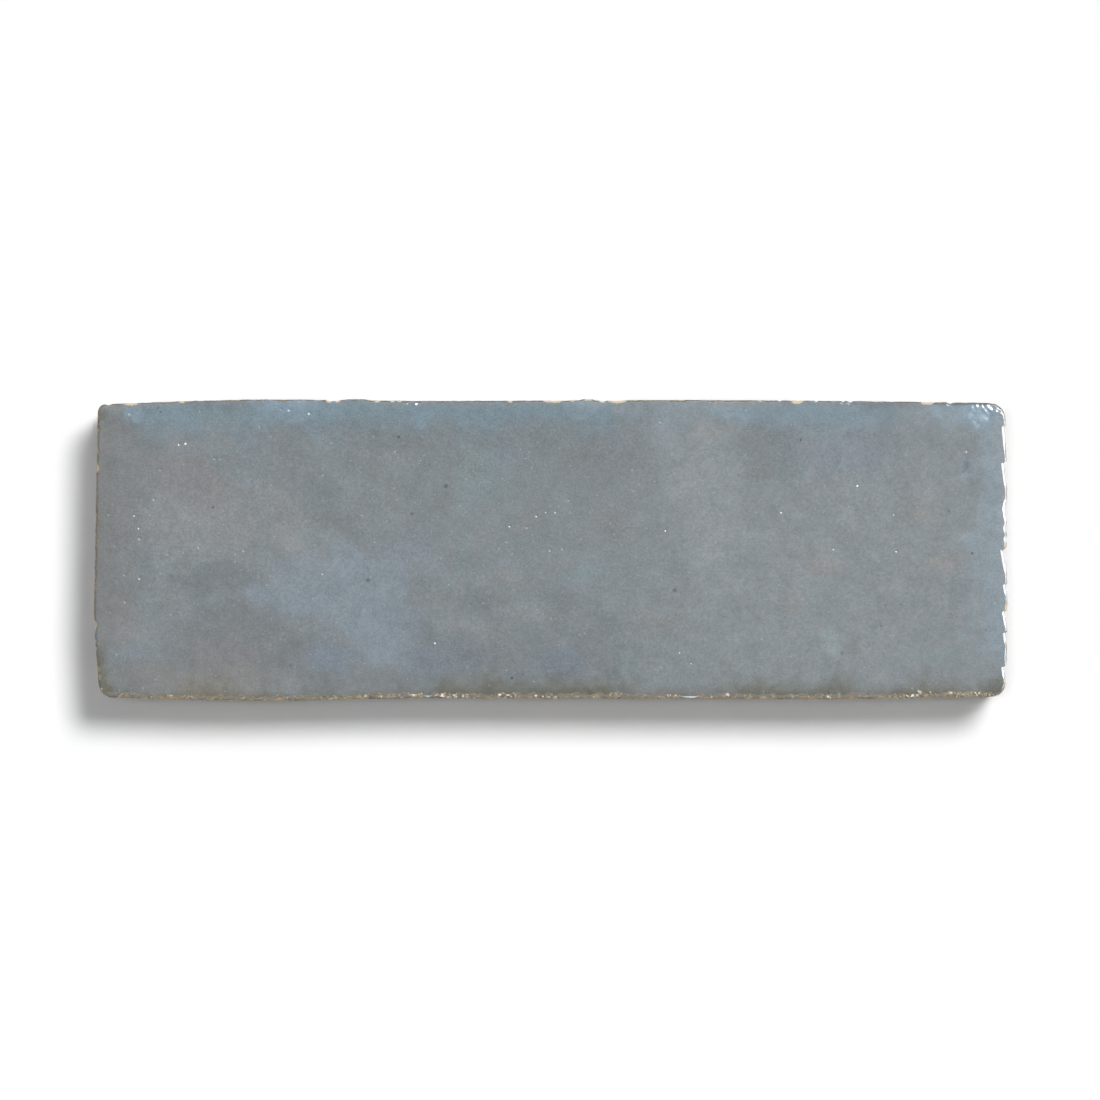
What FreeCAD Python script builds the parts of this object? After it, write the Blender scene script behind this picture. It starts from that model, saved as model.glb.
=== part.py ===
"""Hand-cut glazed clay wall tile of 50 x 150 mm nominal size, lying face up on its back.

The tile is one fired piece. It was trimmed by eye, so every edge wanders a little and every
corner has a radius of its own. The sides lean in towards the back, the glazed edge round the
face is soft, the face rolls gently inside it, and flakes have sprung off that edge.

Millimetres, +X along the tile, +Z out of the glazed face, origin at the centre of the back.
"""

import FreeCAD
import Part

import math
import os
from collections import namedtuple

from FreeCAD import Vector

# Rectangle that the face was trimmed from, and the height of the face above the back
LENGTH = 151.0
WIDTH = 50.0
THICKNESS = 12.0

# Section: how far the sides lean in at the back, the soft edge of the face, the worn edge of the back
UNDERCUT = 0.6
ARRIS_RADIUS = 0.8
BACK_EDGE_RADIUS = 0.4

# Corner radii, measured at the back
TOP_LEFT_RADIUS = 0.6
TOP_RIGHT_RADIUS = 2.0
BOTTOM_RIGHT_RADIUS = 1.6
BOTTOM_LEFT_RADIUS = 1.8

# How far each trimmed edge lies inside the rectangle, at even steps from one corner to the next.
# Long edges run from left to right, short edges from top to bottom.
TOP_TRIM = (0.9, 0.0, 0.35, 0.3, 0.15, 0.35, 0.7)
BOTTOM_TRIM = (0.7, 0.0, 0.55, 0.5, 0.45, 0.35, 0.85)
LEFT_TRIM = (0.75, 0.45, 0.2, 0.0, 0.95)
RIGHT_TRIM = (0.5, 0.15, 0.2, 0.0, 0.45)

# Hand-pressed waves of the face: their depth, the distance from crest to crest each way,
# and the width of the level rim that they leave round the face
ROLL_DEPTH = 0.35
ROLL_ALONG = 68.0
ROLL_ACROSS = 41.0
RIM_WIDTH = 2.0

# Flakes off the glazed edge: the edge, the place as a share of that edge, the length and the bite
Flake = namedtuple("Flake", "edge share length bite")
FLAKES = (
    Flake("right", 0.1, 4.4, 0.4),
    Flake("right", 0.24, 4.6, 0.6),
    Flake("right", 0.37, 4.2, 0.55),
    Flake("right", 0.45, 2.4, 0.35),
    Flake("right", 0.52, 4.0, 0.8),
    Flake("right", 0.635, 2.8, 0.45),
    Flake("right", 0.735, 3.4, 0.6),
    Flake("right", 0.8, 2.4, 0.4),
    Flake("right", 0.915, 2.8, 0.5),
    Flake("top", 0.05, 2.6, 0.4),
    Flake("top", 0.257, 2.4, 0.35),
    Flake("top", 0.31, 2.2, 0.3),
    Flake("top", 0.566, 4.4, 0.4),
    Flake("top", 0.912, 2.4, 0.4),
    Flake("bottom", 0.451, 2.2, 0.3),
    Flake("bottom", 0.651, 3.6, 0.4),
    Flake("bottom", 0.958, 2.4, 0.35),
    Flake("left", 0.76, 3.6, 0.4),
)

# Share of the shorter run beside it that each bend of an edge is eased over
EASE_SHARE = 0.3
# A fillet takes up at most this share of the tightest corner that it runs round
FILLET_SHARE = 0.9
# Squareness of the rim's inner line, and the spacing of the points that carry the waves
RIM_POWER = 4
ROLL_STEP = 8.0
# Turn below which two runs of an edge count as one straight line
STRAIGHT_TURN = 1e-6

UP = Vector(0, 0, 1)
OUTWARD = {
    "top": Vector(0, 1, 0),
    "right": Vector(1, 0, 0),
    "bottom": Vector(0, -1, 0),
    "left": Vector(-1, 0, 0),
}


def even_steps(start, end, count):
    """Evenly spaced values from start to end, both included."""
    return [start + (end - start) * i / (count - 1) for i in range(count)]


def trimmed_edges():
    """The points of each edge of the face, long edges from left to right, short ones downwards."""
    left, right = -LENGTH / 2, LENGTH / 2
    bottom, top = -WIDTH / 2, WIDTH / 2
    top_xs = even_steps(left + LEFT_TRIM[0], right - RIGHT_TRIM[0], len(TOP_TRIM))
    bottom_xs = even_steps(left + LEFT_TRIM[-1], right - RIGHT_TRIM[-1], len(BOTTOM_TRIM))
    left_ys = even_steps(top - TOP_TRIM[0], bottom + BOTTOM_TRIM[0], len(LEFT_TRIM))
    right_ys = even_steps(top - TOP_TRIM[-1], bottom + BOTTOM_TRIM[-1], len(RIGHT_TRIM))
    return {
        "top": [Vector(x, top - trim, 0) for x, trim in zip(top_xs, TOP_TRIM)],
        "right": [Vector(right - trim, y, 0) for y, trim in zip(right_ys, RIGHT_TRIM)],
        "bottom": [Vector(x, bottom + trim, 0) for x, trim in zip(bottom_xs, BOTTOM_TRIM)],
        "left": [Vector(left + trim, y, 0) for y, trim in zip(left_ys, LEFT_TRIM)],
    }


def outline_bends():
    """Every bend of the face's outline, clockwise, with its radius where it is a corner."""
    edges = trimmed_edges()
    runs = (
        (edges["top"], TOP_LEFT_RADIUS),
        (edges["right"], TOP_RIGHT_RADIUS),
        (edges["bottom"][::-1], BOTTOM_RIGHT_RADIUS),
        (edges["left"][::-1], BOTTOM_LEFT_RADIUS),
    )
    bends = []
    for points, back_radius in runs:
        bends.append((points[0], back_radius + UNDERCUT))
        bends.extend((point, None) for point in points[1:-1])
    return bends


def inward(direction):
    """The side that faces into the tile, for a run that goes clockwise round it."""
    return Vector(direction.y, -direction.x, 0)


def outline(inset, height):
    """The outline as straight runs joined by tangent arcs, moved in by an inset at a height."""
    bends = outline_bends()
    lift = UP * height
    joints = []
    for i, (point, radius) in enumerate(bends):
        run_in = point - bends[i - 1][0]
        run_out = bends[(i + 1) % len(bends)][0] - point
        ease = EASE_SHARE * min(run_in.Length, run_out.Length)
        before, after = run_in.normalize(), run_out.normalize()
        turn = before.getAngle(after)
        if turn < STRAIGHT_TURN:
            continue
        reach = radius * math.tan(turn / 2) if radius else ease
        middle = point + (after - before).normalize() * reach * math.tan(turn / 4)
        joints.append((
            point - before * reach + inward(before) * inset + lift,
            middle + inward(before + after).normalize() * inset + lift,
            point + after * reach + inward(after) * inset + lift,
        ))
    pieces = []
    for i, (start, middle, end) in enumerate(joints):
        pieces.append(Part.LineSegment(joints[i - 1][2], start).toShape())
        pieces.append(Part.Arc(start, middle, end).toShape())
    return Part.Wire(pieces)


def slab():
    """The tile with its leaning sides and rounded corners, the face still level and sharp."""
    return Part.makeLoft([outline(UNDERCUT, 0), outline(0, THICKNESS)], True, True)


def soften_edges(tile):
    """Rounds the glazed edge of the face and the worn edge of the back."""
    tightest = min(TOP_LEFT_RADIUS, TOP_RIGHT_RADIUS, BOTTOM_RIGHT_RADIUS, BOTTOM_LEFT_RADIUS)
    arris = min(ARRIS_RADIUS, FILLET_SHARE * (tightest + UNDERCUT))
    worn = min(BACK_EDGE_RADIUS, FILLET_SHARE * tightest)
    face = max(tile.Faces, key=lambda f: f.CenterOfMass.z)
    tile = tile.makeFillet(arris, face.OuterWire.Edges)
    back = min(tile.Faces, key=lambda f: f.CenterOfMass.z)
    return tile.makeFillet(worn, back.OuterWire.Edges)


def face_height(x, y):
    """Height of the rolling face: two crossing waves below the rim, rising past it outside."""
    along = math.cos(2 * math.pi * (x / ROLL_ALONG + y / (3 * ROLL_ACROSS)))
    across = math.sin(2 * math.pi * (y / ROLL_ACROSS - x / (4 * ROLL_ALONG)))
    wave = (3 + along + across) / 5
    rim = (abs(x) / (LENGTH / 2 - RIM_WIDTH)) ** RIM_POWER + (abs(y) / (WIDTH / 2 - RIM_WIDTH)) ** RIM_POWER
    return THICKNESS - ROLL_DEPTH * wave * (1 - rim)


def above_face():
    """Everything above the rolling face, as a solid to cut away."""
    xs = even_steps(-LENGTH / 2, LENGTH / 2, 1 + math.ceil(LENGTH / ROLL_STEP))
    ys = even_steps(-WIDTH / 2, WIDTH / 2, 1 + math.ceil(WIDTH / ROLL_STEP))
    surface = Part.BSplineSurface()
    surface.interpolate([[Vector(x, y, face_height(x, y)) for y in ys] for x in xs])
    return surface.toShape().extrude(UP * THICKNESS)


def flake_scar(flake, edges):
    """A ball that bites the glazed edge from above and outside, and leaves a shell-shaped scar."""
    points = edges[flake.edge]
    place = flake.share * (len(points) - 1)
    before = int(place)
    at = points[before] + (points[before + 1] - points[before]) * (place - before)
    slant = OUTWARD[flake.edge] + UP
    radius = (flake.length ** 2 / 4 + flake.bite ** 2) / (2 * flake.bite)
    arris_centre = at + UP * THICKNESS - slant * ARRIS_RADIUS
    ball_centre = arris_centre + slant.normalize() * (ARRIS_RADIUS + radius - flake.bite)
    return Part.makeSphere(radius, ball_centre, OUTWARD[flake.edge].cross(UP))


def glazed_tile():
    """The finished tile as one solid."""
    tile = soften_edges(slab()).cut(above_face())
    edges = trimmed_edges()
    return tile.cut([flake_scar(flake, edges) for flake in FLAKES]).Solids[0]


def main():
    """Builds the tile and writes it to its file."""
    os.makedirs("parts", exist_ok=True)
    tile = glazed_tile()
    tile.exportStep("parts/glazed_tile.step")
    box = tile.BoundBox
    print(f"glazed_tile {box.XLength:.2f} x {box.YLength:.2f} x {box.ZLength:.2f} mm, "
          f"{tile.Volume / 1000:.1f} cm3, valid {tile.isValid()}, {len(tile.Faces)} faces")


main()
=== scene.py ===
"""Looks of a hand-cut glazed clay wall tile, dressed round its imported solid.

The tile lies face up on its back. The outline, the lean of the sides and the rolling face are read
from the solid. The mesh made here adds what the knife, the glaze and the fire left on it: ripples,
pinholes, flakes off the glazed edge, crumbs along it and torn clay sides.

Sizes are in millimetres unless a name or a docstring says otherwise. MM turns them into metres
where a mesh, a node or a lamp takes them. +X is to the right of the face and +Y to its top.
"""

import logging
import math
from dataclasses import dataclass, field
from enum import Enum, IntEnum
from typing import Any, Sequence

import bmesh
import bpy
import numpy as np
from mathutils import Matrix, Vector, noise
from mathutils.geometry import delaunay_2d_cdt


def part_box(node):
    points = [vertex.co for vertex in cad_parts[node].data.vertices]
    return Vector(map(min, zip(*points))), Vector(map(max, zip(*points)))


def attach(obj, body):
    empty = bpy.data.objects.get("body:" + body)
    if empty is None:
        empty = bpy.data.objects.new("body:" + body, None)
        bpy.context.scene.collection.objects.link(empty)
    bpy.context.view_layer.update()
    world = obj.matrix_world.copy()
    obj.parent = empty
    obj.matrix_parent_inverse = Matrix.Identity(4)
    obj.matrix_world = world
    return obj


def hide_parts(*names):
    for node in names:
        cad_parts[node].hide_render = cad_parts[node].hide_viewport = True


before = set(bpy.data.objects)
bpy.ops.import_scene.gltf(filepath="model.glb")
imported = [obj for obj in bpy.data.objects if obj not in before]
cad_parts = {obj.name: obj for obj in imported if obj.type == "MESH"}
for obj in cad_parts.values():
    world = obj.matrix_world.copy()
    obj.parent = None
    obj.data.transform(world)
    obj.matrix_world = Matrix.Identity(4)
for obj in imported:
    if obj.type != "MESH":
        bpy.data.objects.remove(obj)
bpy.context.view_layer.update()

MM = 0.001
TILE_NODE = "glazed_tile"
# Falloff, step in size and number of the layers that a cloudy pattern adds up.
CLOUD_SHAPE = (1.0, 2.0, 3)
# Values that most, and nearly all, of a noise texture lies between.
NOISE_SPAN = (0.3, 0.7)
WIDE_NOISE_SPAN = (0.25, 0.75)
# Depth of a scar where there is none.
NO_SCAR = -1.0
LOG = logging.getLogger("tile")


def linear(hex_colour: str) -> tuple[float, float, float]:
    """Turns an sRGB hex colour into linear light.

    Args:
        hex_colour: colour such as "#868d90".

    Returns:
        Red, green and blue from 0 to 1.
    """
    values = [int(hex_colour[i:i + 2], 16) / 255 for i in (1, 3, 5)]
    return tuple(v / 12.92 if v <= 0.04045 else ((v + 0.055) / 1.055) ** 2.4 for v in values)


def paint(hex_colour: str) -> tuple[float, float, float, float]:
    """Gives an sRGB hex colour as the opaque linear colour that a socket takes."""
    return (*linear(hex_colour), 1.0)


def per_metre(size: float) -> float:
    """Gives the texture scale at which a noise has features of a size in millimetres."""
    return 1 / (size * MM)


def smooth_step(values: np.ndarray, start: float, end: float) -> np.ndarray:
    """Eases values from 0 at start to 1 at end."""
    share = np.clip((values - start) / (end - start), 0, 1)
    return share * share * (3 - 2 * share)


def clouds(points: np.ndarray, size: float, layer: float) -> np.ndarray:
    """Soft random values of about -1 to 1 over the plan of the tile.

    Args:
        points: plan positions, one row each.
        size: width of the largest clouds.
        layer: level of the noise that is read, from Layer, so that two patterns differ.

    Returns:
        One value for each point.
    """
    return np.array([noise.fractal((x, y, layer), *CLOUD_SHAPE) for x, y in points / size])


def add_node(tree: bpy.types.NodeTree, kind: str, inputs: dict[str | int, Any] | None = None,
             **settings: Any) -> bpy.types.Node:
    """Adds a node, sets it up and links it.

    Args:
        tree: tree that takes the node.
        kind: type name of the node.
        inputs: a socket to link or a plain value, by the name or number of the input.
        **settings: properties of the node.

    Returns:
        The new node.
    """
    node = tree.nodes.new(kind)
    for name, value in settings.items():
        setattr(node, name, value)
    for key, value in (inputs or {}).items():
        if isinstance(value, bpy.types.NodeSocket):
            tree.links.new(value, node.inputs[key])
        else:
            node.inputs[key].default_value = value
    return node


def store(mesh: bpy.types.Mesh, name: str, values: np.ndarray, domain: str = "POINT") -> None:
    """Writes an attribute on a mesh.

    Args:
        mesh: mesh that takes it.
        name: name of the attribute.
        values: one number, vector or linear colour for each element.
        domain: elements that carry it.
    """
    kinds = {1: ("FLOAT", "value"), 3: ("FLOAT_VECTOR", "vector"), 4: ("FLOAT_COLOR", "color")}
    kind, key = kinds[1 if values.ndim == 1 else values.shape[1]]
    layer = mesh.attributes.new(name, kind, domain)
    layer.data.foreach_set(key, np.ascontiguousarray(values, np.float32).ravel())


class Side(Enum):
    """Sides of the tile as it lies, each with the direction that it faces."""

    TOP = (0.0, 1.0)
    RIGHT = (1.0, 0.0)
    BOTTOM = (0.0, -1.0)
    LEFT = (-1.0, 0.0)

    @property
    def out(self) -> np.ndarray:
        """Direction out of this side."""
        return np.array(self.value)

    @property
    def along(self) -> np.ndarray:
        """Direction along this side, towards +X or +Y."""
        return np.abs(self.out[::-1])


class Layer(IntEnum):
    """Levels at which the random patterns are read, far enough apart that no two are alike."""

    WANDER = 0
    ARRIS = 5
    RIPPLE = 8
    DROP = 11
    PULL_ALONG = 20
    PULL_ACROSS = 30
    HUE = 40
    BAND = 50
    MOTTLE = 60


class ScarSkin(Enum):
    """What covers the scar of a flake."""

    GLAZED = 0.0
    BARE = 1.0


class Tone(Enum):
    """Tones of the glaze, from how thick it lay and how it cooled, with painted glints and a painted sheen
    among them.
    """

    POOL = "#6f848e"
    BRIGHT_POOL = "#8aa5b8"
    # Painted glints: bluish-white colour laid where the hammered corner and a sparkle catch the light.
    FOAM = "#b3cbdd"
    SILVER = "#8897a0"
    TEAL = "#778689"
    VIOLET = "#6f7b86"
    SKY = "#7b8790"
    # Pale glaze tone; in the band along the top edge it is a painted sheen of glints and reflection.
    PALE = "#8a9093"
    CHALK = "#86888a"
    FROST = "#9b9b9d"
    WARM = "#7c7a7a"
    BLUSH = "#8a8783"
    SAND = "#857f75"
    SMUDGE = "#6b7174"
    DUSK = "#707578"
    GREEN = "#8a9c9c"
    UMBER = "#727271"
    OLIVE = "#5d5b4c"
    BRONZE = "#6f6346"
    EARTH = "#57504a"


@dataclass(frozen=True)
class EdgeFinish:
    """How one side of the glazed edge came out of the kiln, with painted light and shade on its thin line.

    Attributes:
        arris: radius that the glaze rounded the edge to.
        thin: width of the line where the glaze ran thin over the edge.
        broken: how far that line breaks up, as a share of its width.
        crumb: how much of that line is clay crumbs stuck in glaze, from 0 to 1.
        tint: how light that line is, where 1 leaves its colours as they are. This is painted light and shade:
            lighter on the bottom edge, which turns away from the key lamp, and darker on the top and right
            edges, which face it.
    """

    arris: float
    thin: float
    broken: float
    crumb: float
    tint: float


@dataclass(frozen=True)
class Notch:
    """A place where the edge broke off before glazing, and left a flat bevel.

    Attributes:
        side: edge that it broke off.
        at: its deepest place along the edge, X on a long edge and Y on a short one.
        ahead: length over which it runs out towards +X or +Y.
        behind: length over which it runs out the other way.
        depth: how far it reaches in from the knife's line.
    """

    side: Side
    at: float
    ahead: float
    behind: float
    depth: float


@dataclass(frozen=True)
class Bulge:
    """A place where thick glaze stands out over the knife's line.

    Attributes:
        side: edge that it stands out from.
        at: its middle along the edge, X on a long edge and Y on a short one.
        length: its length along the edge.
        height: how far it stands out.
    """

    side: Side
    at: float
    length: float
    height: float


@dataclass(frozen=True)
class Flake:
    """A flake off the glazed edge.

    Attributes:
        side: edge that it sprang off.
        at: place along the edge, X on a long edge and Y on a short one.
        length: length of its scar along the edge.
        bite: depth of its scar, square to it.
        tilt: how far the scar faces away from straight up, in degrees.
        skin: what covers the scar.
    """

    side: Side
    at: float
    length: float
    bite: float
    tilt: float
    skin: ScarSkin = ScarSkin.GLAZED


@dataclass(frozen=True)
class Bead:
    """A small ridge or drop that the running glaze left on the face.

    Attributes:
        x: place along the tile.
        y: place across it.
        size: its length and its width.
        height: how far it stands up.
        turn: turn of its length, anticlockwise from +X, in degrees.
    """

    x: float
    y: float
    size: tuple[float, float]
    height: float
    turn: float = 0.0


@dataclass(frozen=True)
class Pinhole:
    """A bubble that burst in the glaze.

    Attributes:
        x: place along the tile.
        y: place across it.
        width: width of the little crater.
        stain: how dark the crater is, from 0 for clear glaze to 1.
    """

    x: float
    y: float
    width: float
    stain: float = 0.0


@dataclass(frozen=True)
class Patch:
    """A soft patch of one tone on the face.

    Attributes:
        tone: colour that the glaze tends to there.
        x: place along the tile.
        y: place across it.
        reach: half lengths along and across the patch.
        strength: how far the tone takes over, from 0 to 1.
        turn: turn of the patch, anticlockwise, in degrees.
        fade: power of the distance that it fades with, higher for a crisper border.
    """

    tone: Tone
    x: float
    y: float
    reach: tuple[float, float]
    strength: float
    turn: float = 0.0
    fade: float = 3.0


@dataclass(frozen=True)
class Band:
    """A tone that follows a stretch of an edge.

    Attributes:
        tone: colour that the glaze tends to there.
        side: edge that it follows.
        span: its two ends along the edge.
        depth: how far it reaches into the face.
        strength: how far the tone takes over at the edge, from 0 to 1.
        fade: power of the distance that it fades with, higher for a crisper border.
    """

    tone: Tone
    side: Side
    span: tuple[float, float]
    depth: float
    strength: float
    fade: float = 2.0


# The tint of each edge's thin line is partly painted light and shade: lighter on the bottom, which turns away
# from the key lamp, darker on the top and right, which face it.
EDGES = {
    Side.TOP: EdgeFinish(arris=0.4, thin=0.17, broken=0.8, crumb=0.35, tint=0.6),
    Side.RIGHT: EdgeFinish(arris=0.35, thin=0.12, broken=1.0, crumb=0.15, tint=0.6),
    Side.BOTTOM: EdgeFinish(arris=0.9, thin=0.72, broken=0.5, crumb=1.0, tint=1.2),
    Side.LEFT: EdgeFinish(arris=0.5, thin=0.32, broken=0.9, crumb=0.6, tint=0.9),
}

# The right edge broke off in a saw-tooth row, each tooth steep above and slanting out below.
NOTCHES = (
    Notch(Side.RIGHT, 20.3, 0.4, 5.0, 0.2), Notch(Side.RIGHT, 14.4, 0.35, 4.3, 0.48),
    Notch(Side.RIGHT, 6.8, 1.8, 2.4, 0.35), Notch(Side.RIGHT, 3.6, 0.9, 0.9, 0.18),
    Notch(Side.RIGHT, 1.9, 0.5, 0.7, 0.15), Notch(Side.RIGHT, 0.0, 0.45, 4.0, 0.62),
    Notch(Side.RIGHT, -5.7, 0.3, 2.0, 0.3), Notch(Side.RIGHT, -10.2, 0.4, 2.8, 0.5),
    Notch(Side.RIGHT, -13.7, 0.3, 2.0, 0.3), Notch(Side.RIGHT, -19.3, 0.3, 2.2, 0.4),
    Notch(Side.LEFT, -12.8, 0.4, 1.4, 0.22), Notch(Side.LEFT, -16.1, 0.3, 1.2, 0.2),
    Notch(Side.TOP, -73.1, 0.8, 0.6, 0.22), Notch(Side.TOP, -36.0, 1.0, 1.2, 0.16),
    Notch(Side.TOP, 8.4, 0.9, 0.5, 0.16), Notch(Side.TOP, 37.85, 0.3, 0.35, 0.2),
    Notch(Side.TOP, 43.9, 0.35, 0.4, 0.22), Notch(Side.TOP, 48.3, 0.3, 0.35, 0.18),
    Notch(Side.TOP, 49.5, 0.45, 0.5, 0.28), Notch(Side.TOP, 66.0, 0.5, 0.6, 0.26),
    Notch(Side.BOTTOM, 23.0, 1.9, 1.9, 0.18), Notch(Side.BOTTOM, -20.3, 0.9, 0.9, 0.14),
)

BULGES = (Bulge(Side.TOP, -32.2, 5.8, 0.2), Bulge(Side.TOP, 6.1, 3.2, 0.2))

FLAKES = (
    Flake(Side.RIGHT, 0.7, 1.5, 0.16, 45, ScarSkin.BARE),
    Flake(Side.RIGHT, -9.5, 1.7, 0.16, 42, ScarSkin.BARE),
    Flake(Side.RIGHT, -15.4, 1.2, 0.12, 50, ScarSkin.BARE),
    Flake(Side.RIGHT, -21.4, 1.0, 0.12, 50, ScarSkin.BARE),
    Flake(Side.TOP, -69.5, 2.4, 0.13, 50, ScarSkin.BARE),
    Flake(Side.TOP, -60.9, 1.2, 0.09, 50, ScarSkin.BARE),
    Flake(Side.TOP, -36.5, 1.3, 0.2, 50, ScarSkin.BARE),
    Flake(Side.TOP, -35.3, 1.0, 0.17, 50, ScarSkin.BARE),
    Flake(Side.TOP, -28.7, 1.1, 0.13, 50, ScarSkin.BARE),
    Flake(Side.TOP, -26.2, 0.8, 0.08, 50, ScarSkin.BARE),
    Flake(Side.TOP, -25.0, 0.9, 0.09, 50, ScarSkin.BARE),
    Flake(Side.TOP, -6.7, 0.9, 0.12, 50, ScarSkin.BARE),
    Flake(Side.TOP, 0.6, 3.6, 0.13, 52, ScarSkin.BARE),
    Flake(Side.TOP, 3.6, 1.0, 0.08, 52, ScarSkin.BARE),
    Flake(Side.TOP, 6.4, 2.4, 0.1, 62, ScarSkin.BARE),
    Flake(Side.TOP, 8.5, 1.2, 0.2, 50, ScarSkin.BARE),
    Flake(Side.TOP, 11.0, 3.2, 0.2, 50, ScarSkin.BARE),
    Flake(Side.TOP, 34.6, 0.7, 0.07, 50, ScarSkin.BARE),
    Flake(Side.TOP, 40.7, 2.0, 0.2, 40, ScarSkin.BARE),
    Flake(Side.TOP, 62.3, 2.2, 0.16, 48, ScarSkin.BARE),
    Flake(Side.BOTTOM, -7.7, 2.4, 0.26, 62),
    Flake(Side.BOTTOM, 35.2, 1.4, 0.1, 55, ScarSkin.BARE),
    Flake(Side.BOTTOM, 69.6, 2.0, 0.1, 66, ScarSkin.BARE),
    Flake(Side.LEFT, -12.4, 1.6, 0.18, 55, ScarSkin.BARE),
    Flake(Side.LEFT, 13.5, 1.3, 0.06, 40, ScarSkin.BARE),
)

# Ridges at the top right corner and along the long edges catch the light on the flank that faces it.
BEADS = (
    Bead(70.4, 23.6, (1.4, 0.48), 0.13, -56), Bead(71.33, 23.48, (1.3, 0.5), 0.15, -54),
    Bead(72.32, 23.5, (2.0, 0.54), 0.15, -46), Bead(71.9, 22.75, (0.9, 0.48), 0.12, -50),
    Bead(73.6, 22.9, (0.95, 0.85), 0.18), Bead(74.35, 22.45, (0.5, 0.5), 0.1),
    Bead(69.6, 23.4, (0.8, 0.6), 0.07, -50), Bead(70.7, 22.5, (0.9, 0.7), 0.045, -50),
    Bead(71.6, 21.7, (1.1, 0.7), 0.05, -50), Bead(72.1, 21.3, (0.7, 0.6), 0.045),
    Bead(70.0, 20.85, (0.8, 0.6), 0.05), Bead(69.2, 22.1, (0.9, 0.7), 0.04, -60),
    Bead(60.75, -23.55, (1.2, 0.5), 0.12, -48), Bead(62.65, -23.8, (1.1, 0.5), 0.14, -52),
    Bead(65.75, -23.9, (1.1, 0.5), 0.14, -52), Bead(66.7, -23.6, (0.7, 0.5), 0.08),
    Bead(6.5, -23.05, (0.9, 0.45), 0.09, -55), Bead(4.65, -23.4, (0.9, 0.4), 0.06, -65),
    Bead(28.5, -23.0, (0.6, 0.5), 0.08), Bead(-22.4, 23.95, (1.1, 0.6), 0.13, -50),
    Bead(-23.9, 24.05, (0.6, 0.45), 0.09, -50),
)

SPECKS = (
    Pinhole(-25.1, 18.7, 0.8, 0.85), Pinhole(-17.3, 10.6, 1.2, 0.8), Pinhole(-55.8, 7.1, 0.75, 0.75),
    Pinhole(-30.2, -4.9, 1.1, 0.7), Pinhole(-6.4, -21.1, 0.75, 1.0), Pinhole(-42.9, -19.0, 1.0, 0.35),
    Pinhole(-22.9, 6.0, 0.9, 0.6), Pinhole(1.7, 18.5, 0.7, 0.4), Pinhole(31.1, 18.9, 0.6, 0.4),
    Pinhole(41.3, 18.2, 0.6, 1.0), Pinhole(31.1, 12.4, 0.6, 0.45),
    Pinhole(69.6, -0.5, 0.7, 0.9), Pinhole(67.1, -0.5, 0.5, 0.5), Pinhole(65.8, 6.5, 0.6, 0.5),
    Pinhole(20.5, -6.6, 1.1, 0.75), Pinhole(54.6, -12.5, 0.6, 0.6), Pinhole(55.4, -9.0, 0.5, 0.5),
    Pinhole(57.9, -8.9, 0.5, 0.4), Pinhole(48.1, -17.0, 0.7, 0.6), Pinhole(66.0, -10.5, 0.5, 0.45),
    Pinhole(71.9, -13.2, 0.6, 0.5), Pinhole(-64.9, 23.5, 0.5, 0.9), Pinhole(-64.4, 22.8, 0.5, 0.8),
)

CLEAR_PINHOLES = (
    Pinhole(-60.1, 17.9, 1.6), Pinhole(-61.3, 17.6, 1.0), Pinhole(-55.5, 15.2, 0.9),
    Pinhole(-54.5, 15.2, 0.9),
    Pinhole(-64.5, 13.4, 0.9), Pinhole(-65.5, 8.5, 0.8), Pinhole(-68.7, 5.8, 0.8), Pinhole(-68.0, 3.7, 0.8),
    Pinhole(-67.9, 2.0, 0.9), Pinhole(-73.5, 4.0, 0.7), Pinhole(-58.1, 0.5, 0.7), Pinhole(-50.7, 0.0, 0.8),
    Pinhole(-43.1, 23.3, 1.1), Pinhole(-44.5, 23.3, 0.8), Pinhole(-39.8, 22.7, 1.0),
    Pinhole(-28.7, 22.8, 0.8), Pinhole(-69.5, 22.6, 0.9), Pinhole(-62.1, 23.2, 0.8),
    Pinhole(-57.9, 23.0, 0.7), Pinhole(-67.3, 23.0, 0.7),
    Pinhole(-54.5, 20.9, 0.6), Pinhole(-48.0, 20.4, 0.6), Pinhole(-31.0, 5.8, 0.7),
    Pinhole(-15.3, 23.6, 0.8), Pinhole(-11.7, 23.2, 0.8), Pinhole(-7.1, 21.2, 0.7), Pinhole(18.2, 21.2, 0.7),
    Pinhole(-6.7, 4.0, 0.7), Pinhole(-3.9, 3.8, 0.7), Pinhole(-2.3, 5.7, 0.7), Pinhole(0.9, 6.3, 0.7),
    Pinhole(3.0, 8.3, 0.7), Pinhole(6.5, 6.5, 0.6), Pinhole(-0.1, 0.0, 0.7), Pinhole(2.0, 0.2, 0.6),
    Pinhole(19.0, 3.3, 0.7), Pinhole(32.3, 23.2, 0.7), Pinhole(68.8, 16.4, 0.8), Pinhole(63.4, 16.4, 0.7),
    Pinhole(50.8, 10.8, 0.8), Pinhole(38.2, 6.3, 0.7), Pinhole(57.2, -0.1, 0.8), Pinhole(46.8, 0.2, 0.6),
    Pinhole(-67.9, -4.6, 0.8), Pinhole(-74.0, -7.7, 0.7), Pinhole(-70.3, -8.5, 0.7),
    Pinhole(-37.6, -3.8, 0.7), Pinhole(-19.0, -15.2, 0.8), Pinhole(21.4, -16.8, 0.7),
    Pinhole(73.8, 23.05, 0.6),
)

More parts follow.
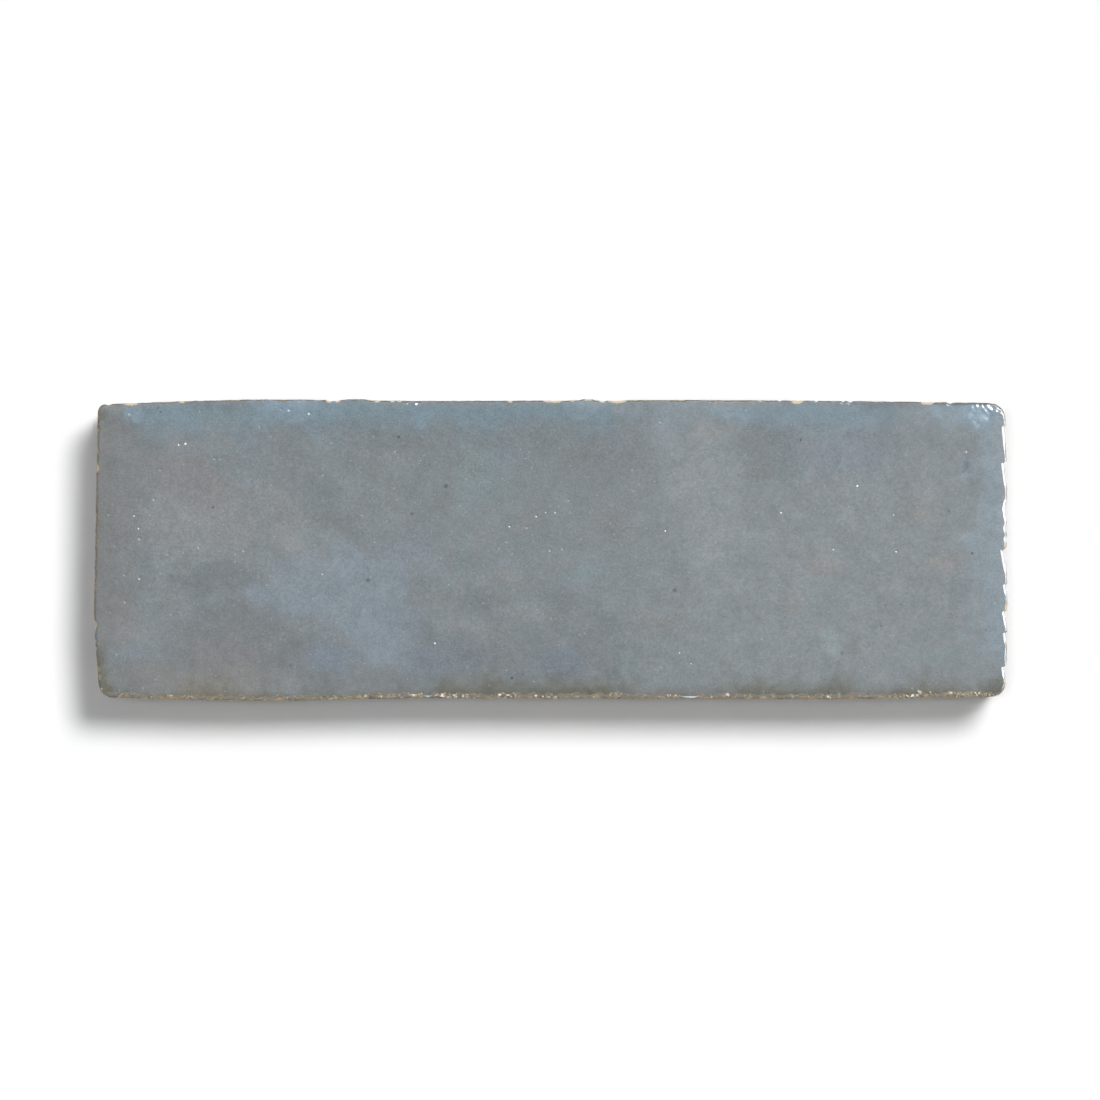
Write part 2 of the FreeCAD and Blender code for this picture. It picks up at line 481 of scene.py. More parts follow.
BANDS = (
    Band(Tone.POOL, Side.TOP, (-73.0, 14.0), 4.8, 0.9, 2.6),
    Band(Tone.SILVER, Side.TOP, (9.0, 35.0), 4.2, 0.45),
    Band(Tone.POOL, Side.TOP, (7.0, 32.0), 2.6, 0.25),
    Band(Tone.POOL, Side.TOP, (28.0, 61.0), 4.4, 0.6, 2.6),
    Band(Tone.SILVER, Side.TOP, (57.0, 80.0), 3.4, 0.55, 3.0),
    Band(Tone.SILVER, Side.RIGHT, (-21.0, 25.0), 5.2, 0.7, 5.0),
    Band(Tone.FROST, Side.RIGHT, (-10.0, 26.0), 1.1, 0.6),
    # Painted sheen: this pale strip just inside the top edge stands for glints and reflection there.
    Band(Tone.PALE, Side.TOP, (-82.0, 52.0), 1.0, 0.5),
    Band(Tone.SILVER, Side.TOP, (-1.0, 13.0), 1.6, 0.7),
    Band(Tone.FROST, Side.TOP, (23.0, 39.0), 1.1, 0.5),
    Band(Tone.BRIGHT_POOL, Side.TOP, (-51.0, -34.0), 2.4, 0.35),
    Band(Tone.BRIGHT_POOL, Side.TOP, (62.0, 75.0), 1.3, 0.6),
    Band(Tone.DUSK, Side.TOP, (47.0, 63.0), 1.2, 0.6),
    Band(Tone.SMUDGE, Side.TOP, (-63.0, -46.0), 2.4, 0.5),
    Band(Tone.UMBER, Side.LEFT, (-19.0, 22.0), 6.0, 0.65, 3.0),
    Band(Tone.OLIVE, Side.LEFT, (-4.0, 11.0), 1.3, 0.2),
    Band(Tone.OLIVE, Side.LEFT, (-30.0, -13.0), 2.1, 0.9),
    Band(Tone.OLIVE, Side.BOTTOM, (-80.0, -19.0), 1.4, 0.65),
    Band(Tone.BRONZE, Side.BOTTOM, (-64.0, -42.0), 1.5, 0.65),
    Band(Tone.OLIVE, Side.BOTTOM, (-23.0, 16.5), 3.0, 0.9),
    Band(Tone.UMBER, Side.BOTTOM, (10.0, 29.0), 2.2, 0.7),
    Band(Tone.OLIVE, Side.BOTTOM, (25.0, 53.0), 2.7, 0.95),
    Band(Tone.OLIVE, Side.BOTTOM, (46.0, 66.0), 2.2, 0.75),
    Band(Tone.OLIVE, Side.BOTTOM, (60.0, 82.0), 1.6, 0.35),
    Band(Tone.BRONZE, Side.BOTTOM, (54.0, 72.0), 1.5, 0.5),
    Band(Tone.OLIVE, Side.BOTTOM, (-32.0, 36.0), 1.2, 0.5),
    Band(Tone.OLIVE, Side.BOTTOM, (56.0, 82.0), 1.1, 0.5),
    Band(Tone.EARTH, Side.TOP, (61.0, 84.0), 0.42, 0.85, 4.0),
)

PATCHES = (
    Patch(Tone.PALE, 54.0, -2.0, (37.0, 34.0), 0.5),
    Patch(Tone.PALE, 24.0, 12.0, (6.4, 14.0), 0.65, 14, 4),
    Patch(Tone.DUSK, 7.0, 17.5, (9.0, 7.0), 0.5, -10),
    Patch(Tone.DUSK, -12.0, 18.5, (17.0, 4.5), 0.3),
    Patch(Tone.DUSK, -32.0, 19.8, (13.0, 3.2), 0.7),
    Patch(Tone.DUSK, -20.0, 6.5, (8.5, 6.0), 0.22),
    Patch(Tone.DUSK, -26.5, -21.5, (6.5, 2.6), 0.7),
    Patch(Tone.WARM, -57.5, 19.6, (6.0, 2.4), 0.3),
    Patch(Tone.PALE, 26.5, 0.0, (5.0, 7.0), 0.35, 0, 4),
    Patch(Tone.DUSK, -39.5, 10.5, (13.0, 4.2), 0.5, -51, 4),
    Patch(Tone.DUSK, -70.5, 8.5, (5.4, 13.5), 0.5, 0, 4),
    Patch(Tone.DUSK, -69.0, 19.5, (5.5, 3.5), 0.4),
    Patch(Tone.CHALK, -57.5, 5.0, (10.0, 7.0), 0.55, -8, 4),
    Patch(Tone.CHALK, -42.0, 2.5, (10.5, 3.4), 0.55, -52, 4),
    Patch(Tone.DUSK, -52.5, -16.4, (11.5, 8.2), 0.95, 0, 6),
    Patch(Tone.DUSK, -40.0, -18.2, (8.4, 4.6), 0.9, -32, 6),
    Patch(Tone.DUSK, -66.0, -21.0, (8.0, 3.4), 0.55, 0, 4),
    Patch(Tone.WARM, -60.4, 12.0, (10.0, 3.2), 0.5, -21, 5),
    Patch(Tone.WARM, -54.0, -17.5, (5.2, 2.8), 0.55, 0, 5),
    Patch(Tone.WARM, -71.5, -11.0, (3.2, 4.4), 0.5, 0, 4),
    Patch(Tone.SKY, -34.0, -6.2, (11.0, 6.8), 0.85, -6, 6),
    Patch(Tone.SKY, -44.0, -8.2, (6.0, 2.2), 0.75, -8, 6),
    Patch(Tone.SKY, -27.5, -13.4, (6.5, 4.6), 0.85, -6, 6),
    Patch(Tone.SKY, -24.0, -1.0, (5.0, 3.6), 0.4, 35),
    Patch(Tone.VIOLET, -36.0, -17.6, (5.2, 2.4), 0.7, 0, 4),
    Patch(Tone.VIOLET, -17.6, -17.8, (8.0, 2.8), 0.65, 0, 4),
    Patch(Tone.SKY, -70.0, -17.5, (4.6, 2.2), 0.4, 0, 4),
    Patch(Tone.SMUDGE, -55.2, -5.0, (7.4, 2.4), 0.75, 5, 4),
    Patch(Tone.SMUDGE, -52.5, -10.4, (7.0, 1.6), 0.35, -4, 4),
    Patch(Tone.DUSK, -3.5, -17.6, (17.0, 5.6), 0.55, 0, 5),
    Patch(Tone.VIOLET, 2.0, -18.4, (5.2, 2.4), 0.55, 0, 4),
    Patch(Tone.SMUDGE, -11.4, -8.4, (4.0, 1.5), 0.6, -6, 3),
    Patch(Tone.SMUDGE, 0.6, -7.6, (3.2, 1.7), 0.55, -24, 3),
    Patch(Tone.SMUDGE, 8.0, -10.8, (4.6, 2.0), 0.5, -30, 3),
    Patch(Tone.SMUDGE, 10.8, -15.6, (2.0, 4.2), 0.35, 8, 3),
    Patch(Tone.SMUDGE, -20.6, -13.2, (3.8, 1.5), 0.5, -24, 3),
    Patch(Tone.CHALK, -9.0, -4.6, (4.6, 1.8), 0.5, -6, 4),
    Patch(Tone.CHALK, -14.2, -12.0, (3.4, 1.5), 0.5, -10, 4),
    Patch(Tone.CHALK, -3.0, -10.8, (2.8, 1.2), 0.45, -30, 4),
    Patch(Tone.TEAL, 13.2, -17.4, (1.8, 2.8), 0.5, 0, 5),
    Patch(Tone.TEAL, -11.5, 12.0, (5.5, 5.0), 0.6, 20, 5),
    Patch(Tone.TEAL, -14.4, -0.6, (1.2, 4.4), 0.55, 0, 5),
    Patch(Tone.TEAL, 5.6, -3.6, (4.2, 2.2), 0.6, 10, 5),
    Patch(Tone.TEAL, -34.2, 17.0, (0.9, 3.6), 0.45, 0, 5),
    Patch(Tone.TEAL, -38.5, 2.2, (4.0, 1.3), 0.45, -10, 5),
    Patch(Tone.TEAL, 39.6, 14.0, (2.4, 3.2), 0.5, 0, 5),
    Patch(Tone.TEAL, 65.0, -18.4, (4.2, 1.6), 0.45, 0, 5),
    Patch(Tone.DUSK, 36.0, 16.8, (6.4, 6.2), 0.45, -10),
    Patch(Tone.SKY, 48.6, 16.6, (8.0, 3.6), 0.5, 0, 4),
    Patch(Tone.BLUSH, 44.3, -2.2, (2.9, 2.2), 0.45, 0, 4),
    Patch(Tone.BLUSH, 65.6, -1.9, (4.0, 1.6), 0.45, 0, 4),
    Patch(Tone.BLUSH, 61.0, 7.4, (2.6, 2.3), 0.4, 0, 4),
    Patch(Tone.BLUSH, 38.6, -9.2, (1.7, 1.9), 0.4, 0, 4),
    Patch(Tone.BLUSH, 26.2, 19.4, (2.9, 1.6), 0.4, 0, 4),
    Patch(Tone.WARM, -3.3, 5.0, (2.4, 2.6), 0.35, 0, 5),
    Patch(Tone.WARM, 10.0, 5.2, (3.2, 3.0), 0.3, 0, 5),
    Patch(Tone.WARM, 17.0, -11.4, (5.0, 1.8), 0.4, -8, 5),
    Patch(Tone.GREEN, 46.6, -16.0, (2.0, 0.9), 0.45, -35, 4),
    Patch(Tone.GREEN, 45.4, -14.6, (1.3, 0.7), 0.4, 40, 4),
    Patch(Tone.UMBER, -71.5, 21.5, (3.5, 3.0), 0.6),
    Patch(Tone.SAND, -57.0, -21.5, (14.0, 2.4), 0.4),
    Patch(Tone.UMBER, -68.5, -21.0, (5.5, 3.0), 0.35),
    Patch(Tone.VIOLET, 67.8, 13.7, (1.1, 0.6), 0.95, 28, 4),
    Patch(Tone.OLIVE, -74.2, 23.4, (1.7, 1.5), 0.65, 0, 4),
    Patch(Tone.BRIGHT_POOL, -69.0, 22.8, (1.9, 1.7), 0.6, 0, 7),
    Patch(Tone.BRIGHT_POOL, -65.2, 22.6, (1.7, 1.3), 0.45, -20, 6),
    Patch(Tone.BRIGHT_POOL, 44.0, 22.6, (13.0, 2.2), 0.35),
    Patch(Tone.BRIGHT_POOL, -41.0, 23.0, (7.0, 1.5), 0.5),
    Patch(Tone.BRIGHT_POOL, -22.0, 23.0, (2.6, 1.4), 0.5, 0, 4),
    Patch(Tone.BRIGHT_POOL, 31.0, 23.4, (4.5, 1.2), 0.45),
    Patch(Tone.SILVER, 6.0, 23.2, (5.0, 2.0), 0.95),
    Patch(Tone.FROST, 10.8, 23.8, (1.5, 0.9), 0.6, 0, 4),
    Patch(Tone.BRONZE, 14.7, 24.1, (1.5, 0.9), 0.45, 0, 4),
    Patch(Tone.BRIGHT_POOL, 63.5, 23.2, (1.4, 1.0), 0.55, 0, 4),
    Patch(Tone.BRIGHT_POOL, 71.2, 22.4, (4.0, 2.4), 0.8, 0, 4),
    # Painted glints: bluish-white dapples and strokes of the hammered top right corner, laid into the colour.
    Patch(Tone.FOAM, 69.3, 24.2, (0.5, 0.5), 0.95, -50, 4),
    Patch(Tone.FOAM, 69.2, 22.0, (0.45, 0.8), 0.65, 0, 4),
    Patch(Tone.FOAM, 70.3, 23.3, (0.6, 0.6), 0.5, -50, 4),
    Patch(Tone.FOAM, 71.4, 22.8, (0.8, 0.7), 0.85, -50, 4),
    Patch(Tone.FOAM, 69.9, 21.1, (0.45, 0.45), 0.9, -50, 4),
    Patch(Tone.FOAM, 71.9, 24.0, (1.9, 0.7), 0.75, -8, 4),
    Patch(Tone.FOAM, 73.9, 23.0, (0.8, 0.6), 0.5, 0, 4),
    # Painted glint of a sparkle just inside the top edge.
    Patch(Tone.FOAM, -22.5, 24.8, (0.4, 0.4), 0.95, 0, 4),
    Patch(Tone.OLIVE, 73.0, -24.0, (2.9, 2.0), 0.6, 8, 4),
    Patch(Tone.OLIVE, -74.2, -23.2, (1.4, 1.8), 0.7, 0, 4),
)


@dataclass
class TileOutline:
    """Outline of the face, read from two level cuts through the solid.

    Attributes:
        node: the solid, which is only read.
        low_cut: height of the lower cut.
        high_cut: height of the upper cut, below every flake.
        samples: how many points run round the outline.
        merge: distance at which the solid's loose corners are joined.
        smoothings: how often each point is drawn halfway to the middle of its neighbours.
        wander: how far and over which lengths the glaze strays from the knife's line.
        side_depth: how near the outermost point a side's own stretch of outline lies.
        notches: places where the edge broke off.
        bulges: places where thick glaze stands out.
        bulge_flat: share of a bulge's length over which it is flat.
    """

    node: bpy.types.Object
    low_cut: float = 3.0
    high_cut: float = 8.0
    samples: int = 2160
    merge: float = 0.001
    smoothings: int = 5
    wander: tuple[tuple[float, float], ...] = ((0.05, 6.0), (0.05, 1.6))
    side_depth: float = 2.2
    notches: Sequence[Notch] = NOTCHES
    bulges: Sequence[Bulge] = BULGES
    bulge_flat: float = 0.3
    height: float = field(init=False)
    lean: float = field(init=False)
    points: np.ndarray = field(init=False)

    def __post_init__(self) -> None:
        """Measures the solid: height of the face, lean of the sides and outline of the face."""
        self.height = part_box(self.node.name)[1].z / MM
        low, high = self.cut(self.low_cut), self.cut(self.high_cut)
        steps = np.linalg.norm(np.roll(high, -1, axis=0) - high, axis=1)
        grown = self.area(high) - self.area(low)
        self.lean = grown / (steps.sum() * (self.high_cut - self.low_cut))
        for _ in range(self.smoothings):
            high = (np.roll(high, 1, axis=0) + 2 * high + np.roll(high, -1, axis=0)) / 4
        stray = self.lean * (self.height - self.high_cut)
        for layer, (far, length) in enumerate(self.wander):
            stray = stray + far * clouds(high, length, Layer.WANDER + layer)
        for bulge in self.bulges:
            reach = high @ bulge.side.out
            away = np.abs(high @ bulge.side.along - bulge.at) / (bulge.length / 2)
            own = reach > reach.max() - self.side_depth
            stray = stray + bulge.height * own * (1 - smooth_step(away, self.bulge_flat, 1))
        self.points = high + self.normals(high) * np.reshape(stray, (-1, 1))

    def cut(self, height: float) -> np.ndarray:
        """Cuts the solid with a level plane.

        Args:
            height: height of the plane above the back.

        Returns:
            Evenly spaced points round the cut, anticlockwise.
        """
        solid = bmesh.new()
        solid.from_mesh(self.node.data)
        bmesh.ops.remove_doubles(solid, verts=solid.verts, dist=self.merge * MM)
        geometry = [*solid.verts, *solid.edges, *solid.faces]
        cut = bmesh.ops.bisect_plane(
            solid, geom=geometry, plane_co=(0, 0, height * MM), plane_no=(0, 0, 1))["geom_cut"]
        points = np.array([item.co.xy for item in cut if isinstance(item, bmesh.types.BMVert)]) / MM
        solid.free()
        points = points[np.argsort(np.arctan2(points[:, 1], points[:, 0]))]
        closed = np.vstack([points, points[:1]])
        travel = np.append(0, np.cumsum(np.linalg.norm(np.diff(closed, axis=0), axis=1)))
        stops = np.linspace(0, travel[-1], self.samples, endpoint=False)
        return np.column_stack([np.interp(stops, travel, closed[:, axis]) for axis in range(2)])

    @staticmethod
    def area(points: np.ndarray) -> float:
        """Area inside a closed line of points."""
        ahead = np.roll(points, -1, axis=0)
        return abs(np.sum(points[:, 0] * ahead[:, 1] - points[:, 1] * ahead[:, 0])) / 2

    @staticmethod
    def normals(points: np.ndarray) -> np.ndarray:
        """Finds the directions out of a closed anticlockwise line.

        Args:
            points: points of the line.

        Returns:
            A unit vector for each point.
        """
        tangents = np.roll(points, -1, axis=0) - np.roll(points, 1, axis=0)
        outward = np.column_stack([tangents[:, 1], -tangents[:, 0]])
        return outward / np.linalg.norm(outward, axis=1, keepdims=True)

    def edge_line(self, side: Side, at: np.ndarray, line: np.ndarray | None = None) -> np.ndarray:
        """Finds how far out an edge lies.

        Args:
            side: edge that is asked for.
            at: places along it.
            line: closed line that has the edge, the outline itself if it is left out.

        Returns:
            The edge's distance from the middle of the tile at each place.
        """
        line = self.points if line is None else line
        reach = line @ side.out
        own = reach > reach.max() - self.side_depth
        order = np.argsort(line[own] @ side.along)
        return np.interp(at, (line[own] @ side.along)[order], reach[own][order])

    def notch_depths(self) -> np.ndarray:
        """Finds how far the edge broke off.

        Returns:
            The distance of the broken edge inside each point of the outline.
        """
        depths = np.zeros(len(self.points))
        for notch in self.notches:
            reach = self.points @ notch.side.out
            away = self.points @ notch.side.along - notch.at
            share = 1 - np.where(away > 0, away / notch.ahead, -away / notch.behind)
            own = (reach > reach.max() - self.side_depth) & (share > 0)
            depths[own] = np.maximum(depths[own], notch.depth * share[own])
        return depths

    def insets(self, plan: np.ndarray, line: np.ndarray | None = None) -> dict[Side, np.ndarray]:
        """Distances of plan points from each edge of the outline or of another line, positive inside it."""
        return {side: self.edge_line(side, plan @ side.along, line) - plan @ side.out for side in Side}

    def side_shares(self) -> dict[Side, np.ndarray]:
        """Finds how much each outline point belongs to each side, blended round the corners.

        Returns:
            Shares from 0 to 1 for each side, which add up to 1.
        """
        near = {side: np.exp(-((self.points @ side.out).max() - self.points @ side.out)) for side in Side}
        total = sum(near.values())
        return {side: value / total for side, value in near.items()}


@dataclass
class TileShell:
    """Closed mesh of the tile: rings of points round its edges, filled by the face and the back.

    Attributes:
        outline: outline of the face.
        pinholes: burst bubbles in the face.
        beads: small ridges and drops on the face.
        core: distance in from the outline that the rings of the face run towards.
        back_edge: radius of the worn edge of the back.
        back_steps: how many rings round that edge.
        wall_shares: heights of the rings up the sides, from 0 to 1.
        bevel: section of a broken edge from the side up to the face, as how far in and how far below
            the face each ring lies, both as shares of its width.
        bevel_width: width of a broken edge.
        bevel_depths: depths of a notch over which the round edge turns into that bevel.
        arris_change: how far the radius of the glazed edge strays, as a share of it.
        arris_length: length of those strays.
        face_insets: distances of the rings on the face from the end of the glazed edge.
        notch_shares: how much of a notch each of those rings still follows.
        face_spacings: spacings of the points on the face, where it is smooth, rippled and hammered.
        back_spacing: spacing of the points on the back.
        ripple_depth: width of the rippled stretch along the top edge.
        ripple_ease: share of that width over which the ripples are full.
        ripple_patches: size of the places where that stretch is rippled or calm.
        ripple_calm: values of the pattern between which it turns from calm to rippled.
        ripple_top: how rippled it is at most, where the corner is 1.
        ripple_corner: where the hammered top right corner starts.
        ripple_fade: width over which the hammering comes in there.
        crater_rings: points in each ring round a pinhole, from its middle outwards.
        glaze_drop: how far the glaze runs down the sides.
        drop_change: how far that strays in all.
        drop_lengths: lengths of those strays.
        torn_depth: distance below the glazed edge over which the sides turn rough.
        thin_below: how much wider the thin line is on the sides than on the face.
        bevel_cover: how far a broken edge lies inside the thin line, in widths of it.
        crumb_reach: where the crumbs end, in widths of the thin line.
        touching: distance at which points of a filled line count as one.
    """

    outline: TileOutline
    pinholes: Sequence[Pinhole]
    beads: Sequence[Bead] = BEADS
    core: float = 2.8
    back_edge: float = 0.5
    back_steps: int = 3
    wall_shares: tuple[float, ...] = (0.15, 0.35, 0.55, 0.75, 0.9)
    bevel: tuple[tuple[float, float], ...] = (
        (0.0, 0.64), (0.02, 0.56), (0.08, 0.48), (0.25, 0.37), (0.45, 0.26), (0.65, 0.145), (0.82, 0.06),
        (0.92, 0.02), (1.0, 0.0))
    bevel_width: float = 0.44
    bevel_depths: tuple[float, float] = (0.0, 0.12)
    arris_change: float = 0.25
    arris_length: float = 3.0
    face_insets: tuple[float, ...] = (0.14, 0.28, 0.43, 0.59, 0.76, 0.93, 1.1)
    notch_shares: tuple[float, ...] = (0.86, 0.7, 0.51, 0.32, 0.16, 0.05, 0.0)
    face_spacings: tuple[float, ...] = (0.46, 0.3, 0.16)
    back_spacing: float = 3.0
    ripple_depth: float = 3.2
    ripple_ease: float = 0.5
    ripple_patches: float = 9.0
    ripple_calm: tuple[float, float] = (-0.1, 0.5)
    ripple_top: float = 0.55
    ripple_corner: tuple[float, float] = (65.0, 18.5)
    ripple_fade: float = 5.0
    crater_rings: tuple[int, ...] = (1, 6, 10, 14)
    glaze_drop: float = 6.2
    drop_change: float = 4.4
    drop_lengths: tuple[float, ...] = (14.0, 4.0)
    torn_depth: float = 1.6
    thin_below: float = 2.0
    bevel_cover: float = 2.0
    crumb_reach: tuple[float, float] = (0.9, 1.6)
    touching: float = 1e-6

    def edge_values(self) -> dict[str, np.ndarray]:
        """Blends the finishes of the sides, with their bevels and notches.

        Returns:
            Values for each point of the outline, by the names in EdgeFinish and as notch and bevel.
        """
        shares = self.outline.side_shares()
        values = {name: sum(shares[side] * getattr(EDGES[side], name) for side in Side)
                  for name in ("arris", "thin", "broken", "crumb", "tint")}
        stray = clouds(self.outline.points, self.arris_length, Layer.ARRIS)
        values["notch"] = self.outline.notch_depths()
        values["bevel"] = smooth_step(values["notch"], *self.bevel_depths)
        arris = values["arris"] * (1 + self.arris_change * stray)
        values["arris"] = arris + values["bevel"] * (self.bevel_width - arris)
        values["thin"] = values["thin"] * (1 + self.arris_change * stray)
        return values

    def rings(self, edge: dict[str, np.ndarray]) -> tuple[np.ndarray, np.ndarray]:
        """Rings of points from the back, up the sides and over the glazed edge onto the face.

        Args:
            edge: finish of the glazed edge at each point of the outline.

        Returns:
            The rings' points, and how far each lies in from the outline or the notch in it.
        """
        line, top, arris = self.outline.points, self.outline.height, edge["arris"]
        low, high = line.min(axis=0) + self.core, line.max(axis=0) - self.core
        inward = np.clip(line, low, high) - line
        inward /= np.linalg.norm(inward, axis=1, keepdims=True)
        lean_in = self.outline.lean * (top - arris)
        fall = arris * (1 - edge["bevel"] * (1 - self.bevel[0][1]))
        sections = []
        for turn in np.linspace(0, math.pi / 2, self.back_steps):
            worn_in = self.back_edge * (1 - math.sin(turn))
            sections.append((lean_in + worn_in, self.back_edge * (1 - math.cos(turn)) + 0 * arris, 0.0))
        for share in self.wall_shares:
            climb = self.back_edge + share * (top - fall - self.back_edge)
            sections.append((lean_in * (1 - share), climb, share))
        for turn, (cut_in, cut_down) in zip(np.linspace(0, math.pi / 2, len(self.bevel)), self.bevel):
            round_in, round_down = 1 - math.cos(turn), 1 - math.sin(turn)
            sections.append((arris * (round_in + edge["bevel"] * (cut_in - round_in)),
                             top - arris * (round_down + edge["bevel"] * (cut_down - round_down)), 1.0))
        for inset, share in zip(self.face_insets, self.notch_shares):
            sections.append((arris + inset, top + 0 * arris, share))
        insets = np.array([inset for inset, _, _ in sections])
        points = np.array([
            np.column_stack([line + inward * (inset + share * edge["notch"])[:, None], height])
            for inset, height, share in sections])
        return points, insets

    def ripple_share(self, plan: np.ndarray) -> np.ndarray:
        """Finds how rippled the glaze is: most at the top right corner, some along the top.

        Args:
            plan: plan positions.

        Returns:
            A share from 0 to 1 for each position.
        """
        inset = self.outline.insets(plan)
        corner_x, corner_y = self.ripple_corner
        corner = (smooth_step(plan[:, 0], corner_x, corner_x + self.ripple_fade)
                  * smooth_step(plan[:, 1], corner_y, corner_y + self.ripple_fade))
        top = 1 - smooth_step(inset[Side.TOP], self.ripple_ease * self.ripple_depth, self.ripple_depth)
        stray = smooth_step(clouds(plan, self.ripple_patches, Layer.RIPPLE), *self.ripple_calm)
        return np.maximum(corner, self.ripple_top * top * stray)

    def grid(self, spacing: float) -> np.ndarray:
        """Lays points in staggered rows over the whole tile.

        Args:
            spacing: distance between neighbours.

        Returns:
            Their plan positions.
        """
        low, high = self.outline.points.min(axis=0), self.outline.points.max(axis=0)
        xs = np.arange(low[0], high[0], spacing)
        ys = np.arange(low[1], high[1], spacing * math.sqrt(3) / 2)
        rows = [np.column_stack([xs + (i % 2) * spacing / 2, np.full(len(xs), y)]) for i, y in enumerate(ys)]
        return np.vstack(rows)

    def craters(self) -> np.ndarray:
        """Lays points in rings round every pinhole, so that its crater is crisp.

        Returns:
            Their plan positions.
        """
        points = []
        for hole in self.pinholes:
            for ring, count in enumerate(self.crater_rings):
                radius = hole.width / 2 * ring / (len(self.crater_rings) - 1)
                turns = np.arange(count) * 2 * math.pi / count
                points.append(np.column_stack([np.cos(turns), np.sin(turns)]) * radius + (hole.x, hole.y))
        return np.vstack(points)

    def bead_heights(self, plan: np.ndarray) -> np.ndarray:
        """Adds up the beads.

        Args:
            plan: plan positions.

        Returns:
            The height of the beads at each position, in metres.
        """
        heights = np.zeros(len(plan))
        for bead in self.beads:
            turn = math.radians(bead.turn)
            offset = plan - (bead.x, bead.y)
            along = (offset @ (math.cos(turn), math.sin(turn))) / (bead.size[0] / 2)
            across = (offset @ (-math.sin(turn), math.cos(turn))) / (bead.size[1] / 2)
            heights += bead.height * MM * np.exp(-(along ** 2 + across ** 2))
        return heights

    def face_points(self, ring: np.ndarray) -> np.ndarray:
        """Lays the points of the face, finer where it is rippled and round pinholes.

        Args:
            ring: plan points of the innermost ring of the face, which the others lie inside.

        Returns:
            Their plan positions.
        """
        corner_x, corner_y = self.ripple_corner

        def fineness(plan: np.ndarray) -> np.ndarray:
            """Number of the spacing that is used at each place."""
            hammered = (plan[:, 0] > corner_x) & (plan[:, 1] > corner_y)
            return np.where(hammered, 2, self.outline.insets(plan)[Side.TOP] < self.ripple_depth)

        grids = [self.grid(spacing) for spacing in self.face_spacings]
        points = np.vstack([grid[fineness(grid) == i] for i, grid in enumerate(grids)])
        for hole in self.pinholes:
            away = np.hypot(points[:, 0] - hole.x, points[:, 1] - hole.y)
            points = points[away > hole.width / 2 + self.face_spacings[1] / 2]
        points = np.vstack([points, self.craters()])
        room = np.min(list(self.outline.insets(points, ring).values()), axis=0)
        return points[room > self.face_spacings[1] / 2]

    def fill(self, boundary: np.ndarray, inner: np.ndarray) -> np.ndarray:
        """Fills a closed line with triangles.

        Args:
            boundary: plan points of the closed line.
            inner: plan points inside it.

        Returns:
            Corner numbers of the triangles, anticlockwise. Boundary points are numbered first.
        """
        points = [Vector(p) for p in np.vstack([boundary, inner])]
        count = len(boundary)
        edges = [(i, (i + 1) % count) for i in range(count)]
        inside_only = 1
        made = delaunay_2d_cdt(points, edges, [], inside_only, self.touching, False)[2]
        triangles = np.sort(made, axis=1)
        corners = np.array(points)[triangles]
        first, second = corners[:, 1] - corners[:, 0], corners[:, 2] - corners[:, 0]
        turned = first[:, 0] * second[:, 1] - first[:, 1] * second[:, 0] < 0
        # A triangle that meets the line's points in the wrong order lies in a hollow outside the line.
        outside = turned & (triangles[:, 2] < count)
        triangles[turned] = triangles[turned][:, ::-1]
        return triangles[~outside]

    def build(self) -> bpy.types.Object:
        """Makes the shell, with the attributes that the relief and the glaze read.

        Returns:
            The new object, in the scene.
        """
        edge = self.edge_values()
        rings, ring_insets = self.rings(edge)
        ring_count, samples = ring_insets.shape
        top = self.outline.height
        inner = self.face_points(rings[-1, :, :2])
        back_inset = float(ring_insets[0].max()) + self.back_spacing / 2
        back = self.grid(self.back_spacing)
        back = back[np.min(list(self.outline.insets(back).values()), axis=0) > back_inset]

        ring_numbers = np.arange(ring_count * samples).reshape(ring_count, samples)
        ahead = np.roll(ring_numbers, -1, axis=1)
        quads = np.stack([ring_numbers[:-1], ahead[:-1], ahead[1:], ring_numbers[1:]], axis=-1)
        quads = quads.reshape(-1, 4)
        inner_numbers = ring_numbers.size + np.arange(len(inner))
        face = np.concatenate([ring_numbers[-1], inner_numbers])[self.fill(rings[-1, :, :2], inner)]
        back_numbers = ring_numbers.size + len(inner) + np.arange(len(back))
        underside = np.concatenate([ring_numbers[0], back_numbers])[self.fill(rings[0, :, :2], back)][:, ::-1]

        points = np.vstack([
            rings.reshape(-1, 3),
            np.column_stack([inner, np.full(len(inner), top)]),
            np.column_stack([back, np.zeros(len(back))]),
        ])
        mesh = bpy.data.meshes.new("tile_shell")
        mesh.from_pydata((points * MM).tolist(), [], [*quads.tolist(), *face.tolist(), *underside.tolist()],
                         shade_flat=False)

        inner_inset = np.min(list(self.outline.insets(inner).values()), axis=0)
        drop = self.glaze_drop
        for layer, length in enumerate(self.drop_lengths):
            stray = self.drop_change * length / sum(self.drop_lengths)
            drop = drop + stray * clouds(self.outline.points, length, Layer.DROP + layer)
        above_line = rings[:, :, 2] - (top - np.maximum(drop, edge["arris"]))
        below = np.maximum(top - edge["arris"] - rings[:, :, 2], 0)
        in_widths = np.where(below > 0, below / self.thin_below, ring_insets) / edge["thin"]
        on_arris = in_widths + self.bevel_cover * edge["bevel"]
        torn = smooth_step(below, 0, self.torn_depth) * smooth_step(rings[:, :, 2], 0, self.back_edge)
        crumb = edge["crumb"] * (1 - smooth_step(on_arris, *self.crumb_reach)) * (1 - edge["bevel"])
        far = float(on_arris.max())

        def everywhere(on_rings: np.ndarray, on_face: float | np.ndarray, on_back: float) -> np.ndarray:
            """Values for all points, from those on the rings, on the face and on the back."""
            return np.concatenate([on_rings.ravel(), on_face + 0 * inner_inset, on_back + 0 * back[:, 0]])

